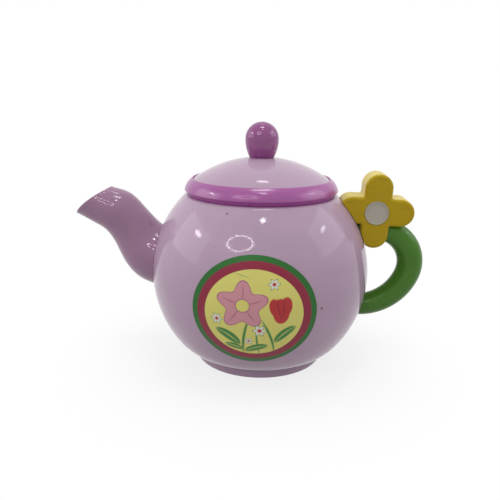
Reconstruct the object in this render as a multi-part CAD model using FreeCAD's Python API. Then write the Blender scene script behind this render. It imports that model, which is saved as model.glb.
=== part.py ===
"""Toy teapot in moulded plastic: ball-shaped pot, curved spout, ring handle with a flower, lift-off lid.

Millimetres, +Z up. The label faces -Y, the spout points to -X and the handle to +X. The pieces are drawn
about the pot's upright axis. At the end all of them move along X together, so that the origin lies on the
table under the middle of the whole toy.
"""

import FreeCAD
import Part
import math
import os

from FreeCAD import Vector

# Pot
body_radius = 58.0
pot_wall = 2.4
foot_radius = 34.8
foot_proud = 2.1
foot_height = 4.0
foot_width = 3.2
foot_round = 0.8
base_lift = 2.6
turn_height = 14.0
mouth_radius = 35.4
ledge_width = 4.6
neck_depth = 7.0
edge_round = 0.5

# Spout: stations along its middle line, each (out, up, heading in degrees, radius), counted from the point
# where the line leaves the pot
spout_rise_deg = 10.0
spout_wall = 1.9
spout_stations = [
    (-6.7, -4.3, 17.0, 16.8),
    (0.2, -2.2, 28.5, 16.3),
    (5.3, 1.1, 37.0, 15.1),
    (8.7, 5.2, 44.0, 13.9),
    (11.5, 9.7, 49.0, 12.8),
    (16.3, 16.3, 47.0, 12.0),
    (21.6, 21.2, 36.0, 11.9),
    (28.1, 23.7, 24.0, 10.9),
    (36.3, 27.4, 23.0, 10.3),
    (46.3, 31.4, 22.0, 10.0),
]
lip_out = 33.5
lip_up = 26.7
lip_slope_deg = 37.0
lip_round = 0.7
spigot_radius = 11.0
spigot_wall = 1.8
spigot_depth = 1.4

# Handle
handle_out = 4.3
handle_rise = 6.1
handle_bend = 18.2
handle_lower_bend = 27.8
handle_join_deg = -20.0
handle_radius = 6.75
handle_end_radius = 5.8
handle_steps = 6
handle_past = 12.0
peg_radius = 3.8
peg_length = 9.0
socket_wall = 2.2

# Flower on the handle, placed from the handle's top
flower_inset = 2.4
flower_lift = 10.7
flower_thick = 17.0
flower_split = 3.0
petal_count = 4
petal_radius = 7.1
petal_reach = 19.3
flower_turn_deg = -2.7
valley_round = 1.2
flower_round = 1.5
flower_wall = 2.0
seam_groove = 0.3
flower_gap = 0.25
pin_radius = 1.6
pin_length = 3.5
pin_reach = 13.0
eye_drop = 0.6
eye_radius = 6.1
eye_thick = 2.2
eye_proud = 0.3
eye_dish = 0.7
eye_lip = 0.6
eye_stem_radius = 2.6
eye_stem_length = 3.0

# Lid: the ring's radii are given from the ledge's edge, the dome's from the mouth
rim_band_height = 1.8
rim_overhang = 0.3
rim_foot_inset = 1.4
rim_band_inset = 0.5
rim_widest_height = 2.5
rim_shoulder_inset = 1.8
rim_shoulder_height = 6.7
rim_crest_inset = 3.8
rim_crest_height = 8.5
rim_groove = 0.3
skirt_depth = 5.5
skirt_wall = 2.2
dome_edge_proud = 0.2
dome_height = 19.2
dome_radius = 61.5
dome_wall = 2.0
dome_lip = 2.5
knob_radius = 8.7
knob_foot_radius = 6.3
knob_height = 17.9
stem_radius = 3.0
pad_radius = 5.6
pad_height = 1.2
screw_radius = 1.5
screw_head_radius = 3.6
screw_head_height = 2.0
screw_length = 9.0

# Label on the front of the pot
label_half_width = 28.9
label_half_height = 27.2
label_drop_deg = 4.3
label_thick = 0.2

# Clearances
fit_gap = 0.15
glue_gap = 0.08
label_gap = 0.02
lid_gap = 0.4

# Values of the working method: reach of the cutting blocks, degree of the lofts, and when two places are one
far = 400.0
loft_degree = 3
tolerance = 0.001

# Sizes that follow from the ones above
ledge_radius = mouth_radius + ledge_width
rim_radius = ledge_radius + rim_overhang
rim_foot_radius = ledge_radius - rim_foot_inset
rim_band_radius = ledge_radius - rim_band_inset
rim_shoulder_radius = ledge_radius - rim_shoulder_inset
rim_crest_radius = ledge_radius - rim_crest_inset
dome_edge_radius = mouth_radius + dome_edge_proud
centre_height = math.sqrt(body_radius ** 2 - (foot_radius - foot_proud) ** 2)
ledge_height = centre_height + math.sqrt(body_radius ** 2 - ledge_radius ** 2)
pot_centre = Vector(0, 0, centre_height)
handle_centre = Vector(body_radius + handle_out, 0, centre_height + handle_rise)
flower_centre = handle_centre + Vector(-flower_inset, 0, handle_bend + flower_lift)
dome_top = ledge_height + dome_height
dome_centre = dome_top - dome_radius


def xz(x, z):
    """A point in the upright plane through the axis."""
    return Vector(x, 0, z)


def line(a, b):
    return Part.LineSegment(a, b).toShape()


def arc(a, b, centre):
    """The shorter arc from a to b round a centre."""
    middle = (a + b) * 0.5 - centre
    middle.normalize()
    return Part.Arc(a, centre + middle * (a - centre).Length, b).toShape()


def arc_through(a, middle, b):
    return Part.Arc(a, middle, b).toShape()


def path(points):
    """Straight edges from each point to the next."""
    return [line(a, b) for a, b in zip(points, points[1:])]


def turned(edges):
    """The solid that a closed outline sweeps round the upright axis."""
    face = Part.Face(Part.Wire(edges))
    return face.revolve(Vector(0, 0, 0), Vector(0, 0, 1), 360)


def ball(radius):
    return Part.makeSphere(radius, pot_centre, Vector(0, 0, 1), -90, 90, 360)


def pot_ring(radius, z):
    """The point at height z on a ball round the pot's centre."""
    return xz(math.sqrt(radius ** 2 - (z - centre_height) ** 2), z)


def turn_arc():
    """Centre and radius of the tighter curve that carries the ball down to the foot."""
    start = pot_ring(body_radius, turn_height)
    end = xz(foot_radius, foot_height)
    out = start - pot_centre
    out.normalize()
    chord = end - start
    radius = chord.Length ** 2 / (2 * abs(chord.dot(out)))
    return start - out * radius, radius, out


def pot_outline():
    """Half section of the pot: foot ring, ball, ledge for the lid, neck, and the inside at one wall's depth.
    The floor lies a wall above the base, or at the lowest point of the inner curve if that is higher."""
    centre, radius, out = turn_arc()
    start = pot_ring(body_radius, turn_height)
    inner_start = start - out * pot_wall
    inner_turn = radius - pot_wall
    floor = max(base_lift + pot_wall, centre.z - inner_turn)
    drop = min(inner_turn, centre.z - floor)
    inner_end = xz(centre.x + math.sqrt(inner_turn ** 2 - drop ** 2), floor)
    ledge_edge = pot_ring(body_radius, ledge_height - edge_round)
    neck_outer = mouth_radius + pot_wall
    neck_foot = ledge_height - neck_depth
    inner_radius = body_radius - pot_wall
    inner_top = xz(neck_outer, centre_height + math.sqrt(inner_radius ** 2 - neck_outer ** 2))
    foot_corner = xz(foot_radius - foot_round, foot_round)
    edges = path([
        xz(0, base_lift),
        xz(foot_radius - foot_width, base_lift),
        xz(foot_radius - foot_width, 0),
        xz(foot_radius - foot_round, 0),
    ])
    edges.append(arc(xz(foot_radius - foot_round, 0), xz(foot_radius, foot_round), foot_corner))
    edges.append(line(xz(foot_radius, foot_round), xz(foot_radius, foot_height)))
    edges.append(arc(xz(foot_radius, foot_height), start, centre))
    edges.append(arc(start, ledge_edge, pot_centre))
    edges += path([
        ledge_edge,
        xz(ledge_radius - edge_round, ledge_height),
        xz(mouth_radius, ledge_height),
        xz(mouth_radius, neck_foot),
        xz(neck_outer, neck_foot),
        inner_top,
    ])
    edges.append(arc(inner_top, inner_start, pot_centre))
    edges.append(arc(inner_start, inner_end, centre))
    edges += path([inner_end, xz(0, floor), xz(0, base_lift)])
    return edges


def spout_root():
    """Where the spout's middle line leaves the pot, and the direction straight out of the pot there."""
    rise = math.radians(spout_rise_deg)
    out = Vector(-math.cos(rise), 0, math.sin(rise))
    return pot_centre + out * body_radius, out


def handle_lower_centre():
    """Centre of the handle's wider lower bend, which runs on smoothly from the upper one."""
    join = math.radians(handle_join_deg)
    return handle_centre + Vector(math.cos(join), 0, math.sin(join)) * (handle_bend - handle_lower_bend)


def handle_seats():
    """Where the handle's middle line runs level into the pot, at its top and at its bottom."""
    top = handle_centre.z + handle_bend
    bottom = handle_lower_centre().z - handle_lower_bend
    return [pot_ring(body_radius, z) for z in (top, bottom)]


def pegs(radius, start_gap, tip_gap):
    """The two level pegs at the handle's ends, or the holes they go in when made wider and longer."""
    made = []
    for seat in handle_seats():
        start = seat + Vector(start_gap, 0, 0)
        length = start_gap + peg_length + tip_gap
        made.append(Part.makeCylinder(radius, length, start, Vector(-1, 0, 0)))
    return made


def make_pot():
    pot = turned(pot_outline())
    root, out = spout_root()
    port = Part.makeCylinder(spigot_radius + fit_gap, 4 * pot_wall, root - out * (2 * pot_wall), out)
    inside = ball(body_radius - pot_wall / 2)
    for sleeve in pegs(peg_radius + fit_gap + socket_wall, 0, fit_gap + socket_wall):
        pot = pot.fuse(sleeve.common(inside))
    pot = pot.cut(port)
    for hole in pegs(peg_radius + fit_gap, pot_wall, fit_gap):
        pot = pot.cut(hole)
    return pot


def spout_section(station, less, along):
    """Round section at a station, smaller than it by a step, and moved along the line by another."""
    out, up, heading, radius = station
    root, _ = spout_root()
    ring = Part.makeCircle(radius - less, Vector(-along, 0, 0), Vector(-1, 0, 0))
    ring.rotate(Vector(0, 0, 0), Vector(0, 1, 0), heading)
    ring.translate(root + Vector(-out, 0, up))
    return Part.Wire([ring])


def spout_loft(less):
    """Skin over the round sections. The one that is cut from the other is longer than it at both ends."""
    along = [0] * len(spout_stations)
    along[0] = -less
    along[-1] = less
    sections = [spout_section(station, less, step) for station, step in zip(spout_stations, along)]
    return Part.makeLoft(sections, True, False, False, loft_degree)


def lip_cutter():
    """Block whose lower face is the slanted plane of the spout's lip."""
    root, _ = spout_root()
    block = Part.makeBox(far, far, far, Vector(-far / 2, -far / 2, 0))
    block.rotate(Vector(0, 0, 0), Vector(0, 1, 0), -lip_slope_deg)
    block.translate(root + Vector(-lip_out, 0, lip_up))
    return block


def on_lip(edge):
    """Whether an edge lies in the plane of the lip."""
    root, _ = spout_root()
    slope = math.radians(lip_slope_deg)
    normal = Vector(-math.sin(slope), 0, math.cos(slope))
    middle = root + Vector(-lip_out, 0, lip_up)
    ends = [edge.valueAt(p) for p in (edge.FirstParameter, (edge.FirstParameter + edge.LastParameter) / 2)]
    return all(abs((p - middle).dot(normal)) < tolerance for p in ends)


def make_spout():
    """Hollow curved spout with a floor where it meets the pot and a short round spigot through the pot's wall."""
    root, out = spout_root()
    seat = body_radius + glue_gap
    outer = spout_loft(0)
    shell = outer.cut(spout_loft(spout_wall)).cut(lip_cutter())
    lips = [edge for edge in shell.Edges if on_lip(edge)]
    shell = shell.makeFillet(lip_round, lips)
    floor = outer.common(ball(seat + spout_wall))
    spigot_inner = spigot_radius - spigot_wall
    start = root - out * (pot_wall + spigot_depth)
    spigot = Part.makeCylinder(spigot_radius, pot_wall + spigot_depth + spout_wall, start, out)
    spout = shell.fuse(floor).cut(ball(seat)).fuse(spigot)
    bore = Part.makeCylinder(spigot_inner, pot_wall + spigot_depth + 3 * spout_wall, start, out)
    return spout.cut(bore)


def handle_section(radius, deg, middle):
    """Round section in the plane through the bend's centre at an angle."""
    ring = Part.makeCircle(radius, Vector(0, 0, 0), Vector(0, 0, 1))
    ring.rotate(Vector(0, 0, 0), Vector(0, 1, 0), -deg)
    ring.translate(middle)
    return Part.Wire([ring])


def level_sections(start, end, deg, radius):
    """Sections at even steps along a level stretch, the last point left out."""
    step = (end - start) * (1 / handle_steps)
    return [handle_section(radius, deg, start + step * i) for i in range(handle_steps)]


def bend_sections(centre, bend, start, end, more):
    """Sections along one bend, wider towards the handle's outermost place, the last point left out."""
    sections = []
    for i in range(handle_steps):
        deg = start + (end - start) * i / handle_steps
        angle = math.radians(deg)
        radius = handle_end_radius + (handle_radius - handle_end_radius) * math.cos(angle)
        middle = centre + Vector(math.cos(angle), 0, math.sin(angle)) * bend
        sections.append(handle_section(radius + more, deg, middle))
    return sections


def handle_tube(more):
    """Round bar in two bends that runs level into the pot at both ends, thicker all over by a step."""
    top, bottom = handle_seats()
    lower_centre = handle_lower_centre()
    radius = handle_end_radius + more
    inward = Vector(-handle_past, 0, 0)
    end = xz(lower_centre.x, bottom.z) + inward
    sections = level_sections(top + inward, xz(handle_centre.x, top.z), 90, radius)
    sections += bend_sections(handle_centre, handle_bend, 90, handle_join_deg, more)
    sections += bend_sections(lower_centre, handle_lower_bend, handle_join_deg, -90, more)
    sections += level_sections(end - inward, end, -90, radius)
    sections.append(handle_section(radius, -90, end))
    return Part.makeLoft(sections, True, False, False, loft_degree)


def make_handle():
    handle = handle_tube(0).cut(ball(body_radius + glue_gap))
    for peg in pegs(peg_radius, handle_end_radius, 0):
        handle = handle.fuse(peg)
    return handle


def petal_deg(petal):
    """Angle of a petal: the first points away from the pot, the next one up."""
    return 360 / petal_count * petal + flower_turn_deg


def petal_way(petal):
    angle = math.radians(petal_deg(petal))
    return Vector(math.cos(angle), 0, math.sin(angle))


def petal_block(less, half_thick):
    """Petals with straight flanks and round ends, as a block centred on the handle's middle plane."""
    across = Vector(0, 1, 0)
    wide = petal_radius - less
    run = petal_reach - petal_radius
    block = None
    for petal in range(petal_count):
        flank = Part.makeBox(run, 2 * half_thick, 2 * wide, Vector(0, -half_thick, -wide))
        end = Part.makeCylinder(wide, 2 * half_thick, Vector(run, -half_thick, 0), across)
        lobe = flank.fuse(end)
        lobe.rotate(Vector(0, 0, 0), across, -petal_deg(petal))
        block = block.fuse(lobe) if block else lobe
    block.translate(flower_centre)
    return block.removeSplitter()


def across_edges(block):
    """The straight edges that run from front to back, where one petal meets the next."""
    found = []
    for edge in block.Edges:
        run = edge.Vertexes[-1].Point - edge.Vertexes[0].Point
        level = math.hypot(run.x, run.z) < tolerance and abs(run.y) > tolerance
        if level and len(block.ancestorsOfType(edge, Part.Face)) == 2:
            found.append(edge)
    return found


def rim_edges(block, half_thick):
    """The edges that lie in the block's front and back faces."""
    return [
        edge for edge in block.Edges
        if all(abs(abs(vertex.Point.y) - half_thick) < tolerance for vertex in edge.Vertexes)
    ]


def flower_blank():
    half = flower_thick / 2
    block = petal_block(0, half)
    block = block.makeFillet(valley_round, across_edges(block))
    return block.makeFillet(flower_round, rim_edges(block, half))


def pin_places():
    """Middle of each locating pin, in the petal that points away from the pot and in the upper one."""
    split = Vector(0, flower_split, 0)
    return [flower_centre + split + petal_way(petal) * pin_reach for petal in (0, 1)]


def seam_ring():
    """Narrow ring that cuts the groove where the two halves of the flower meet."""
    ring = petal_block(0, seam_groove / 2).cut(petal_block(seam_groove, seam_groove / 2))
    ring.translate(Vector(0, flower_split, 0))
    return ring


def flower_posts():
    """Solid stock round each locating pin and round the stem of the eye."""
    across = Vector(0, 1, 0)
    start = Vector(0, -flower_thick / 2, 0)
    posts = [Part.makeCylinder(
        eye_stem_radius + fit_gap + flower_wall, eye_pocket_depth() + flower_wall, eye_centre() + start, across)]
    for place in pin_places():
        base = Vector(place.x, 0, place.z) + start
        posts.append(Part.makeCylinder(pin_radius + fit_gap + flower_wall, flower_thick, base, across))
    return posts


def lid_space():
    """Room round the lid's ring and above it, so that the lid lifts off past the flower."""
    return Part.makeCylinder(rim_radius + flower_gap, far, xz(0, ledge_height))


def flower_shell():
    """The whole flower before it is split: hollow, with a sleeve round the handle and a post at each pin."""
    blank = flower_blank()
    hollow = petal_block(flower_wall, flower_thick / 2 - flower_wall)
    hollow = hollow.cut(ball(body_radius + flower_gap + flower_wall))
    hollow = hollow.cut(handle_tube(fit_gap + flower_wall))
    for post in flower_posts():
        hollow = hollow.cut(post)
    shell = blank.cut(hollow).cut(seam_ring())
    shell = shell.cut(handle_tube(fit_gap))
    return shell.cut(ball(body_radius + flower_gap)).cut(lid_space())


def half_space(side):
    """Large block on one side of the flower's seam: -1 in front, 1 behind."""
    low = flower_split - far if side < 0 else flower_split
    return Part.makeBox(far, far, far, Vector(-far / 2, low, -far / 2 + centre_height))


def make_flower_half(side):
    """Front half with the pins and the eye's seat, or back half with the holes for the pins."""
    half = flower_shell().common(half_space(side))
    across = Vector(0, 1, 0)
    for place in pin_places():
        if side < 0:
            root = place - across * flower_wall
            half = half.fuse(Part.makeCylinder(pin_radius, flower_wall + pin_length, root, across))
        else:
            half = half.cut(Part.makeCylinder(pin_radius + fit_gap, pin_length + fit_gap, place, across))
    if side < 0:
        face = eye_centre() - across * (flower_thick / 2)
        half = half.cut(Part.makeCylinder(eye_radius + fit_gap, eye_thick - eye_proud, face, across))
        half = half.cut(Part.makeCylinder(eye_stem_radius + fit_gap, eye_pocket_depth(), face, across))
    return half


def eye_centre():
    return flower_centre - Vector(0, 0, eye_drop)


def eye_pocket_depth():
    return eye_thick - eye_proud + eye_stem_length + fit_gap


def make_flower_eye():
    """Dished round button with a rounded lip, turned about its own axis and laid on its back."""
    shoulder = eye_thick - eye_lip / 2
    lip_outer = xz(eye_radius, shoulder)
    lip_inner = xz(eye_radius - eye_lip, shoulder)
    dish_edge = xz(eye_radius - eye_lip, eye_thick - eye_dish)
    edges = path([
        xz(0, -eye_stem_length),
        xz(eye_stem_radius, -eye_stem_length),
        xz(eye_stem_radius, 0),
        xz(eye_radius, 0),
        lip_outer,
    ])
    edges.append(arc_through(lip_outer, xz(eye_radius - eye_lip / 2, eye_thick), lip_inner))
    edges += path([lip_inner, dish_edge, xz(0, eye_thick - eye_dish), xz(0, -eye_stem_length)])
    eye = turned(edges)
    eye.rotate(Vector(0, 0, 0), Vector(1, 0, 0), 90)
    eye.translate(eye_centre() + Vector(0, eye_thick - eye_proud - flower_thick / 2, 0))
    return eye


def make_lid_rim():
    """Ring of the lid: skirt inside the mouth, stepped band, rounded outer face and a seat for the dome."""
    z = ledge_height
    skirt_outer = mouth_radius - lid_gap
    skirt_inner = skirt_outer - skirt_wall
    seat = z + dome_seat_height()
    inner_crest = xz(dome_edge_radius + fit_gap, z + rim_crest_height - rim_groove)
    edges = path([
        xz(skirt_outer, z),
        xz(rim_foot_radius, z),
        xz(rim_band_radius, z + rim_band_height),
        xz(rim_radius, z + rim_widest_height),
    ])
    crest = xz(rim_crest_radius, z + rim_crest_height)
    shoulder = xz(rim_shoulder_radius, z + rim_shoulder_height)
    edges.append(arc_through(xz(rim_radius, z + rim_widest_height), shoulder, crest))
    edges += path([
        crest,
        inner_crest,
        xz(dome_edge_radius + fit_gap, seat),
        xz(skirt_inner, seat),
        xz(skirt_inner, z - skirt_depth),
        xz(skirt_outer, z - skirt_depth),
        xz(skirt_outer, z),
    ])
    return turned(edges)


def dome_edge_height():
    """Height of the dome's outer face above the ledge, at its edge."""
    return dome_centre + math.sqrt(dome_radius ** 2 - dome_edge_radius ** 2) - ledge_height


def dome_seat_height():
    return dome_edge_height() - dome_lip


def make_lid_dome():
    """Thin cap of a ball with a straight edge that drops into the rim, and a pad under its top for the screw."""
    centre = xz(0, dome_centre)
    inner = dome_radius - dome_wall
    hole = stem_radius + fit_gap
    edge_inner = dome_edge_radius - dome_wall
    outer_edge = xz(dome_edge_radius, ledge_height + dome_edge_height())
    seat = ledge_height + dome_seat_height()
    hole_top = xz(hole, dome_centre + math.sqrt(dome_radius ** 2 - hole ** 2))
    inner_edge = xz(edge_inner, dome_centre + math.sqrt(inner ** 2 - edge_inner ** 2))
    pad_foot = dome_pad_foot()
    pad_top = xz(pad_radius, dome_centre + math.sqrt(inner ** 2 - pad_radius ** 2))
    edges = [arc(hole_top, outer_edge, centre)]
    edges += path([outer_edge, xz(dome_edge_radius, seat), xz(edge_inner, seat), inner_edge])
    edges.append(arc(inner_edge, pad_top, centre))
    edges += path([pad_top, xz(pad_radius, pad_foot), xz(hole, pad_foot), hole_top])
    return turned(edges)


def dome_pad_foot():
    return dome_top - dome_wall - pad_height


def make_lid_knob():
    """Egg-shaped knob that sits on the dome, with a stem through it and a blind hole for the screw."""
    top = dome_top + knob_height
    widest = top - knob_radius
    foot = dome_centre + math.sqrt((dome_radius + glue_gap) ** 2 - knob_foot_radius ** 2)
    share = math.sqrt(1 - (knob_foot_radius / knob_radius) ** 2)
    lower = (widest - foot) / share
    belly = Part.Ellipse(xz(0, widest + lower), xz(knob_radius, widest), xz(0, widest))
    belly_edge = part_of(belly, xz(knob_foot_radius, foot), xz(knob_radius, widest))
    crown_edge = arc(xz(knob_radius, widest), xz(0, top), xz(0, widest))
    stem_foot = dome_pad_foot() + fit_gap
    hole = screw_radius + fit_gap / 2
    hole_top = stem_foot + screw_length
    stem_top = dome_centre + math.sqrt((dome_radius + glue_gap) ** 2 - stem_radius ** 2)
    edges = [belly_edge, crown_edge]
    edges += path([xz(0, top), xz(0, hole_top), xz(hole, hole_top), xz(hole, stem_foot)])
    edges += path([xz(hole, stem_foot), xz(stem_radius, stem_foot), xz(stem_radius, stem_top)])
    edges.append(arc(xz(stem_radius, stem_top), xz(knob_foot_radius, foot), xz(0, dome_centre)))
    return turned(edges)


def part_of(curve, a, b):
    """The stretch of a curve between two points on it, taken the short way."""
    first, last = sorted((curve.parameter(a), curve.parameter(b)))
    if last - first > math.pi:
        first, last = last, first + 2 * math.pi
    return curve.toShape(first, last)


def make_knob_screw():
    """Round-headed screw under the lid that holds the knob."""
    head_top = dome_pad_foot()
    head_foot = head_top - screw_head_height
    head = Part.makeCylinder(screw_head_radius, screw_head_height, xz(0, head_foot))
    head = head.makeFillet(screw_head_height / 2, [head.Edges[2]])
    shank = Part.makeCylinder(screw_radius, screw_length, xz(0, head_top))
    return head.fuse(shank)


def make_label():
    """Thin round patch that follows the pot's front."""
    drop = math.radians(label_drop_deg)
    out = Vector(0, -math.cos(drop), -math.sin(drop))
    up = Vector(0, -math.sin(drop), math.cos(drop))
    side = pot_centre + Vector(label_half_width, 0, 0)
    outline = Part.Ellipse(side, pot_centre + up * label_half_height, pot_centre).toShape()
    column = Part.Face(Part.Wire([outline])).extrude(out * (2 * body_radius))
    patch = ball(body_radius + label_gap + label_thick).cut(ball(body_radius + label_gap))
    return patch.common(column)


def main():
    os.makedirs("parts", exist_ok=True)
    nodes = {
        "pot_body": make_pot(),
        "spout": make_spout(),
        "handle": make_handle(),
        "flower_front": make_flower_half(-1),
        "flower_back": make_flower_half(1),
        "flower_eye": make_flower_eye(),
        "lid_rim": make_lid_rim(),
        "lid_dome": make_lid_dome(),
        "lid_knob": make_lid_knob(),
        "knob_screw": make_knob_screw(),
        "picture_label": make_label(),
    }
    spout_reach = nodes["spout"].optimalBoundingBox(False, False).XMin
    handle_reach = nodes["handle"].optimalBoundingBox(False, False).XMax
    shift = Vector(-(spout_reach + handle_reach) / 2, 0, 0)
    print("axis of the pot at x", round(shift.x, 3))
    for name, shape in nodes.items():
        shape.translate(shift)
        shape.exportStep("parts/" + name + ".step")
        box = shape.optimalBoundingBox(False, False)
        ends = [round(v, 2) for v in (box.XMin, box.XMax, box.YMin, box.YMax, box.ZMin, box.ZMax)]
        print(name, shape.ShapeType, len(shape.Solids), shape.isValid(), round(shape.Volume, 1), ends)


main()
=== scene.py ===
"""Looks of the toy teapot, built round its packed solids.

Metres, +Z up, in the frame of the solids: the spout points to -X, the handle to +X and the label to -Y.
Each piece is a closed surface worked out on a grid, has its place in its mesh, and stands for the plain
solid whose name it carries.
"""

import math

import bmesh
import bpy
import numpy as np
from mathutils import Matrix, Vector


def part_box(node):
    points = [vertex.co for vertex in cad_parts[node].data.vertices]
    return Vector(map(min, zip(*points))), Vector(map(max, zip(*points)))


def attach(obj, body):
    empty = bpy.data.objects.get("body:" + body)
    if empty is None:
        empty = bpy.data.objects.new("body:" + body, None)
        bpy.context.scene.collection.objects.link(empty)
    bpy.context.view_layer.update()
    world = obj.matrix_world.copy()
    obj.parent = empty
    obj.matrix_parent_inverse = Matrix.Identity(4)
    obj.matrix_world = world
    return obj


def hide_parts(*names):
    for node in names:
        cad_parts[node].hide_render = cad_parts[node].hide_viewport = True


bl_info = {
    "name": "Toy teapot",
    "version": (1, 0, 0),
    "blender": (4, 5, 0),
    "location": "3D View > Sidebar > Teapot",
    "description": "Builds the surfaces, finishes and studio of a toy teapot round its solids",
    "category": "Add Mesh",
}

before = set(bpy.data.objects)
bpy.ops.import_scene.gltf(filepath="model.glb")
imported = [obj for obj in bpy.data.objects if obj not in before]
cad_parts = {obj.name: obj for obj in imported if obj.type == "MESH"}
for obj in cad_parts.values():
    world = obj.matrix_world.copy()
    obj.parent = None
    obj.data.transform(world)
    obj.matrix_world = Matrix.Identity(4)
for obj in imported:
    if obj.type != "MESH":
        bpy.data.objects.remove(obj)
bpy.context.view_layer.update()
pot_low, pot_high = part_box("pot_body")
knob_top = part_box("lid_knob")[1].z

MM = 0.001
AXIS = (pot_low.x + pot_high.x) / 2
BODY = "root"
ACROSS = np.array([0.0, 1.0, 0.0])

# Gap round a peg, a stem or an edge in its hole, gap behind a seat on the ball, gap round the screw, and how
# far a cutter stands out of the face that it cuts.
FIT = 0.15 * MM
SEAT_GAP = 0.08 * MM
SCREW_GAP = 0.075 * MM
CUT_PAST = 2 * MM


def length(name, millimetres, description):
    """A length, given in millimetres and kept in metres."""
    return bpy.props.FloatProperty(
        name=name, description=description, default=millimetres * MM,
        unit="LENGTH", subtype="DISTANCE", precision=4)


def angle(name, degrees, description):
    """An angle, given in degrees and kept in radians."""
    return bpy.props.FloatProperty(
        name=name, description=description, default=math.radians(degrees), unit="ROTATION", subtype="ANGLE")


def amount(name, value, description):
    """A plain number from zero up."""
    return bpy.props.FloatProperty(name=name, description=description, default=value, min=0.0)


def colour(name, red, green, blue, description):
    """A colour as screens show it."""
    return bpy.props.FloatVectorProperty(
        name=name, description=description, default=(red, green, blue), size=3, min=0.0, max=1.0,
        subtype="COLOR_GAMMA")


class PotSizes(bpy.types.PropertyGroup):
    """Sizes of the ball-shaped pot."""
    ball: length("Ball radius", (pot_high.y - pot_low.y) / 2 / MM, "Outer radius of the pot")
    wall: length("Wall", 2.4, "Thickness of the pot's wall")
    foot: length("Foot radius", 34.8, "Outer radius of the foot ring")
    foot_proud: length("Foot proud", 2.1, "How far the foot ring stands out of the ball at the table")
    foot_height: length("Foot height", 4.0, "Height of the foot ring's straight side")
    foot_width: length("Foot width", 3.2, "Width of the foot ring")
    foot_round: length("Foot rounding", 0.8, "Radius along the foot ring's outer edge")
    base_lift: length("Base lift", 2.6, "Gap under the base inside the foot ring")
    turn: length("Turn height", 14.0, "Height at which the ball starts to turn in to the foot")
    ledge: length("Ledge radius", 40.0, "Outer radius of the flat ledge under the lid")
    mouth: length("Mouth radius", 35.4, "Radius of the pot's mouth")
    neck: length("Neck depth", 7.0, "Depth of the neck inside the mouth")
    edge: length("Edge rounding", 0.5, "Radius along the mouth's edges")
    sleeve: length("Sleeve wall", 2.2, "Thickness of the sleeves round the handle's pegs")


class SpoutSizes(bpy.types.PropertyGroup):
    """Sizes of the hollow curved spout."""
    rise: angle("Rise", 10.0, "Slope of the line along which the spout leaves the pot")
    wall: length("Wall", 1.9, "Thickness of the spout's wall")
    lip_out: length("Lip out", 33.5, "How far the lip's plane lies out from the spout's foot")
    lip_up: length("Lip up", 26.7, "How far the lip's plane lies above the spout's foot")
    lip_slope: angle("Lip slope", 37.0, "Slope of the lip's plane")
    lip_round: length("Lip rounding", 0.7, "Radius of the lip")
    lip_bow: length("Lip bow", 1.1, "How far the sides of the lip stand above a straight cut")
    spigot: length("Spigot radius", 11.0, "Outer radius of the spigot in the pot's wall")
    spigot_wall: length("Spigot wall", 1.8, "Thickness of the spigot's wall")
    spigot_depth: length("Spigot depth", 1.4, "How far the spigot stands into the pot")


class HandleSizes(bpy.types.PropertyGroup):
    """Sizes of the ring handle."""
    out: length("Centre out", 4.3, "How far the upper bend's centre lies outside the ball")
    up: length("Centre up", 6.1, "How far the upper bend's centre lies above the ball's centre")
    bend: length("Upper bend", 18.2, "Radius of the upper bend")
    lower_bend: length("Lower bend", 27.8, "Radius of the lower bend")
    join: angle("Join", -20.0, "Where one bend passes into the other")
    bar: length("Bar radius", 6.75, "Radius of the bar at its thickest")
    end: length("End radius", 5.8, "Radius of the bar where it meets the pot")
    peg: length("Peg radius", 3.8, "Radius of the pegs that hold the handle")
    peg_length: length("Peg length", 9.0, "How far the pegs go into the pot")


class FlowerSizes(bpy.types.PropertyGroup):
    """Sizes of the flower on the handle and of its eye."""
    inset: length("Inset", 2.4, "How far the flower lies towards the pot from the handle's bend")
    lift: length("Lift", 10.7, "How far the flower lies above the handle's top")
    thick: length("Thickness", 17.0, "Thickness of the whole flower")
    split: length("Split", 3.0, "How far the seam lies behind the middle")
    petal: length("Petal radius", 7.1, "Radius of a petal's round end")
    reach: length("Petal reach", 19.3, "How far a petal reaches from the middle")
    turned: angle("Turn", -2.7, "How far the flower is turned on the handle")
    valley: length("Valley rounding", 1.2, "Radius between two petals")
    edge: length("Edge rounding", 1.5, "Radius along the front and back edges")
    groove: length("Seam groove", 0.3, "Depth and width of the groove along the seam")
    gap: length("Gap to the pot", 0.25, "Clearance between the flower and the pot")
    eye: length("Eye radius", 6.1, "Radius of the disc in the middle")
    eye_drop: length("Eye drop", 0.6, "How far the disc lies below the flower's middle")
    eye_thick: length("Eye thickness", 2.2, "Thickness of the disc")
    eye_proud: length("Eye proud", 0.3, "How far the disc's lip stands out of the petals")
    eye_dish: length("Eye dish", 0.7, "Depth of the disc's flat floor below its lip")
    eye_lip: length("Eye lip", 0.6, "Width of the disc's lip")
    eye_edge: length("Eye edge rounding", 0.2, "Radius along the disc's back edges")
    eye_hollow: length("Eye hollow rounding", 0.15, "Radius between the disc's lip and its floor")
    stem: length("Eye stem radius", 2.6, "Radius of the stem behind the disc")
    stem_length: length("Eye stem length", 3.0, "Length of the stem behind the disc")


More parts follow.
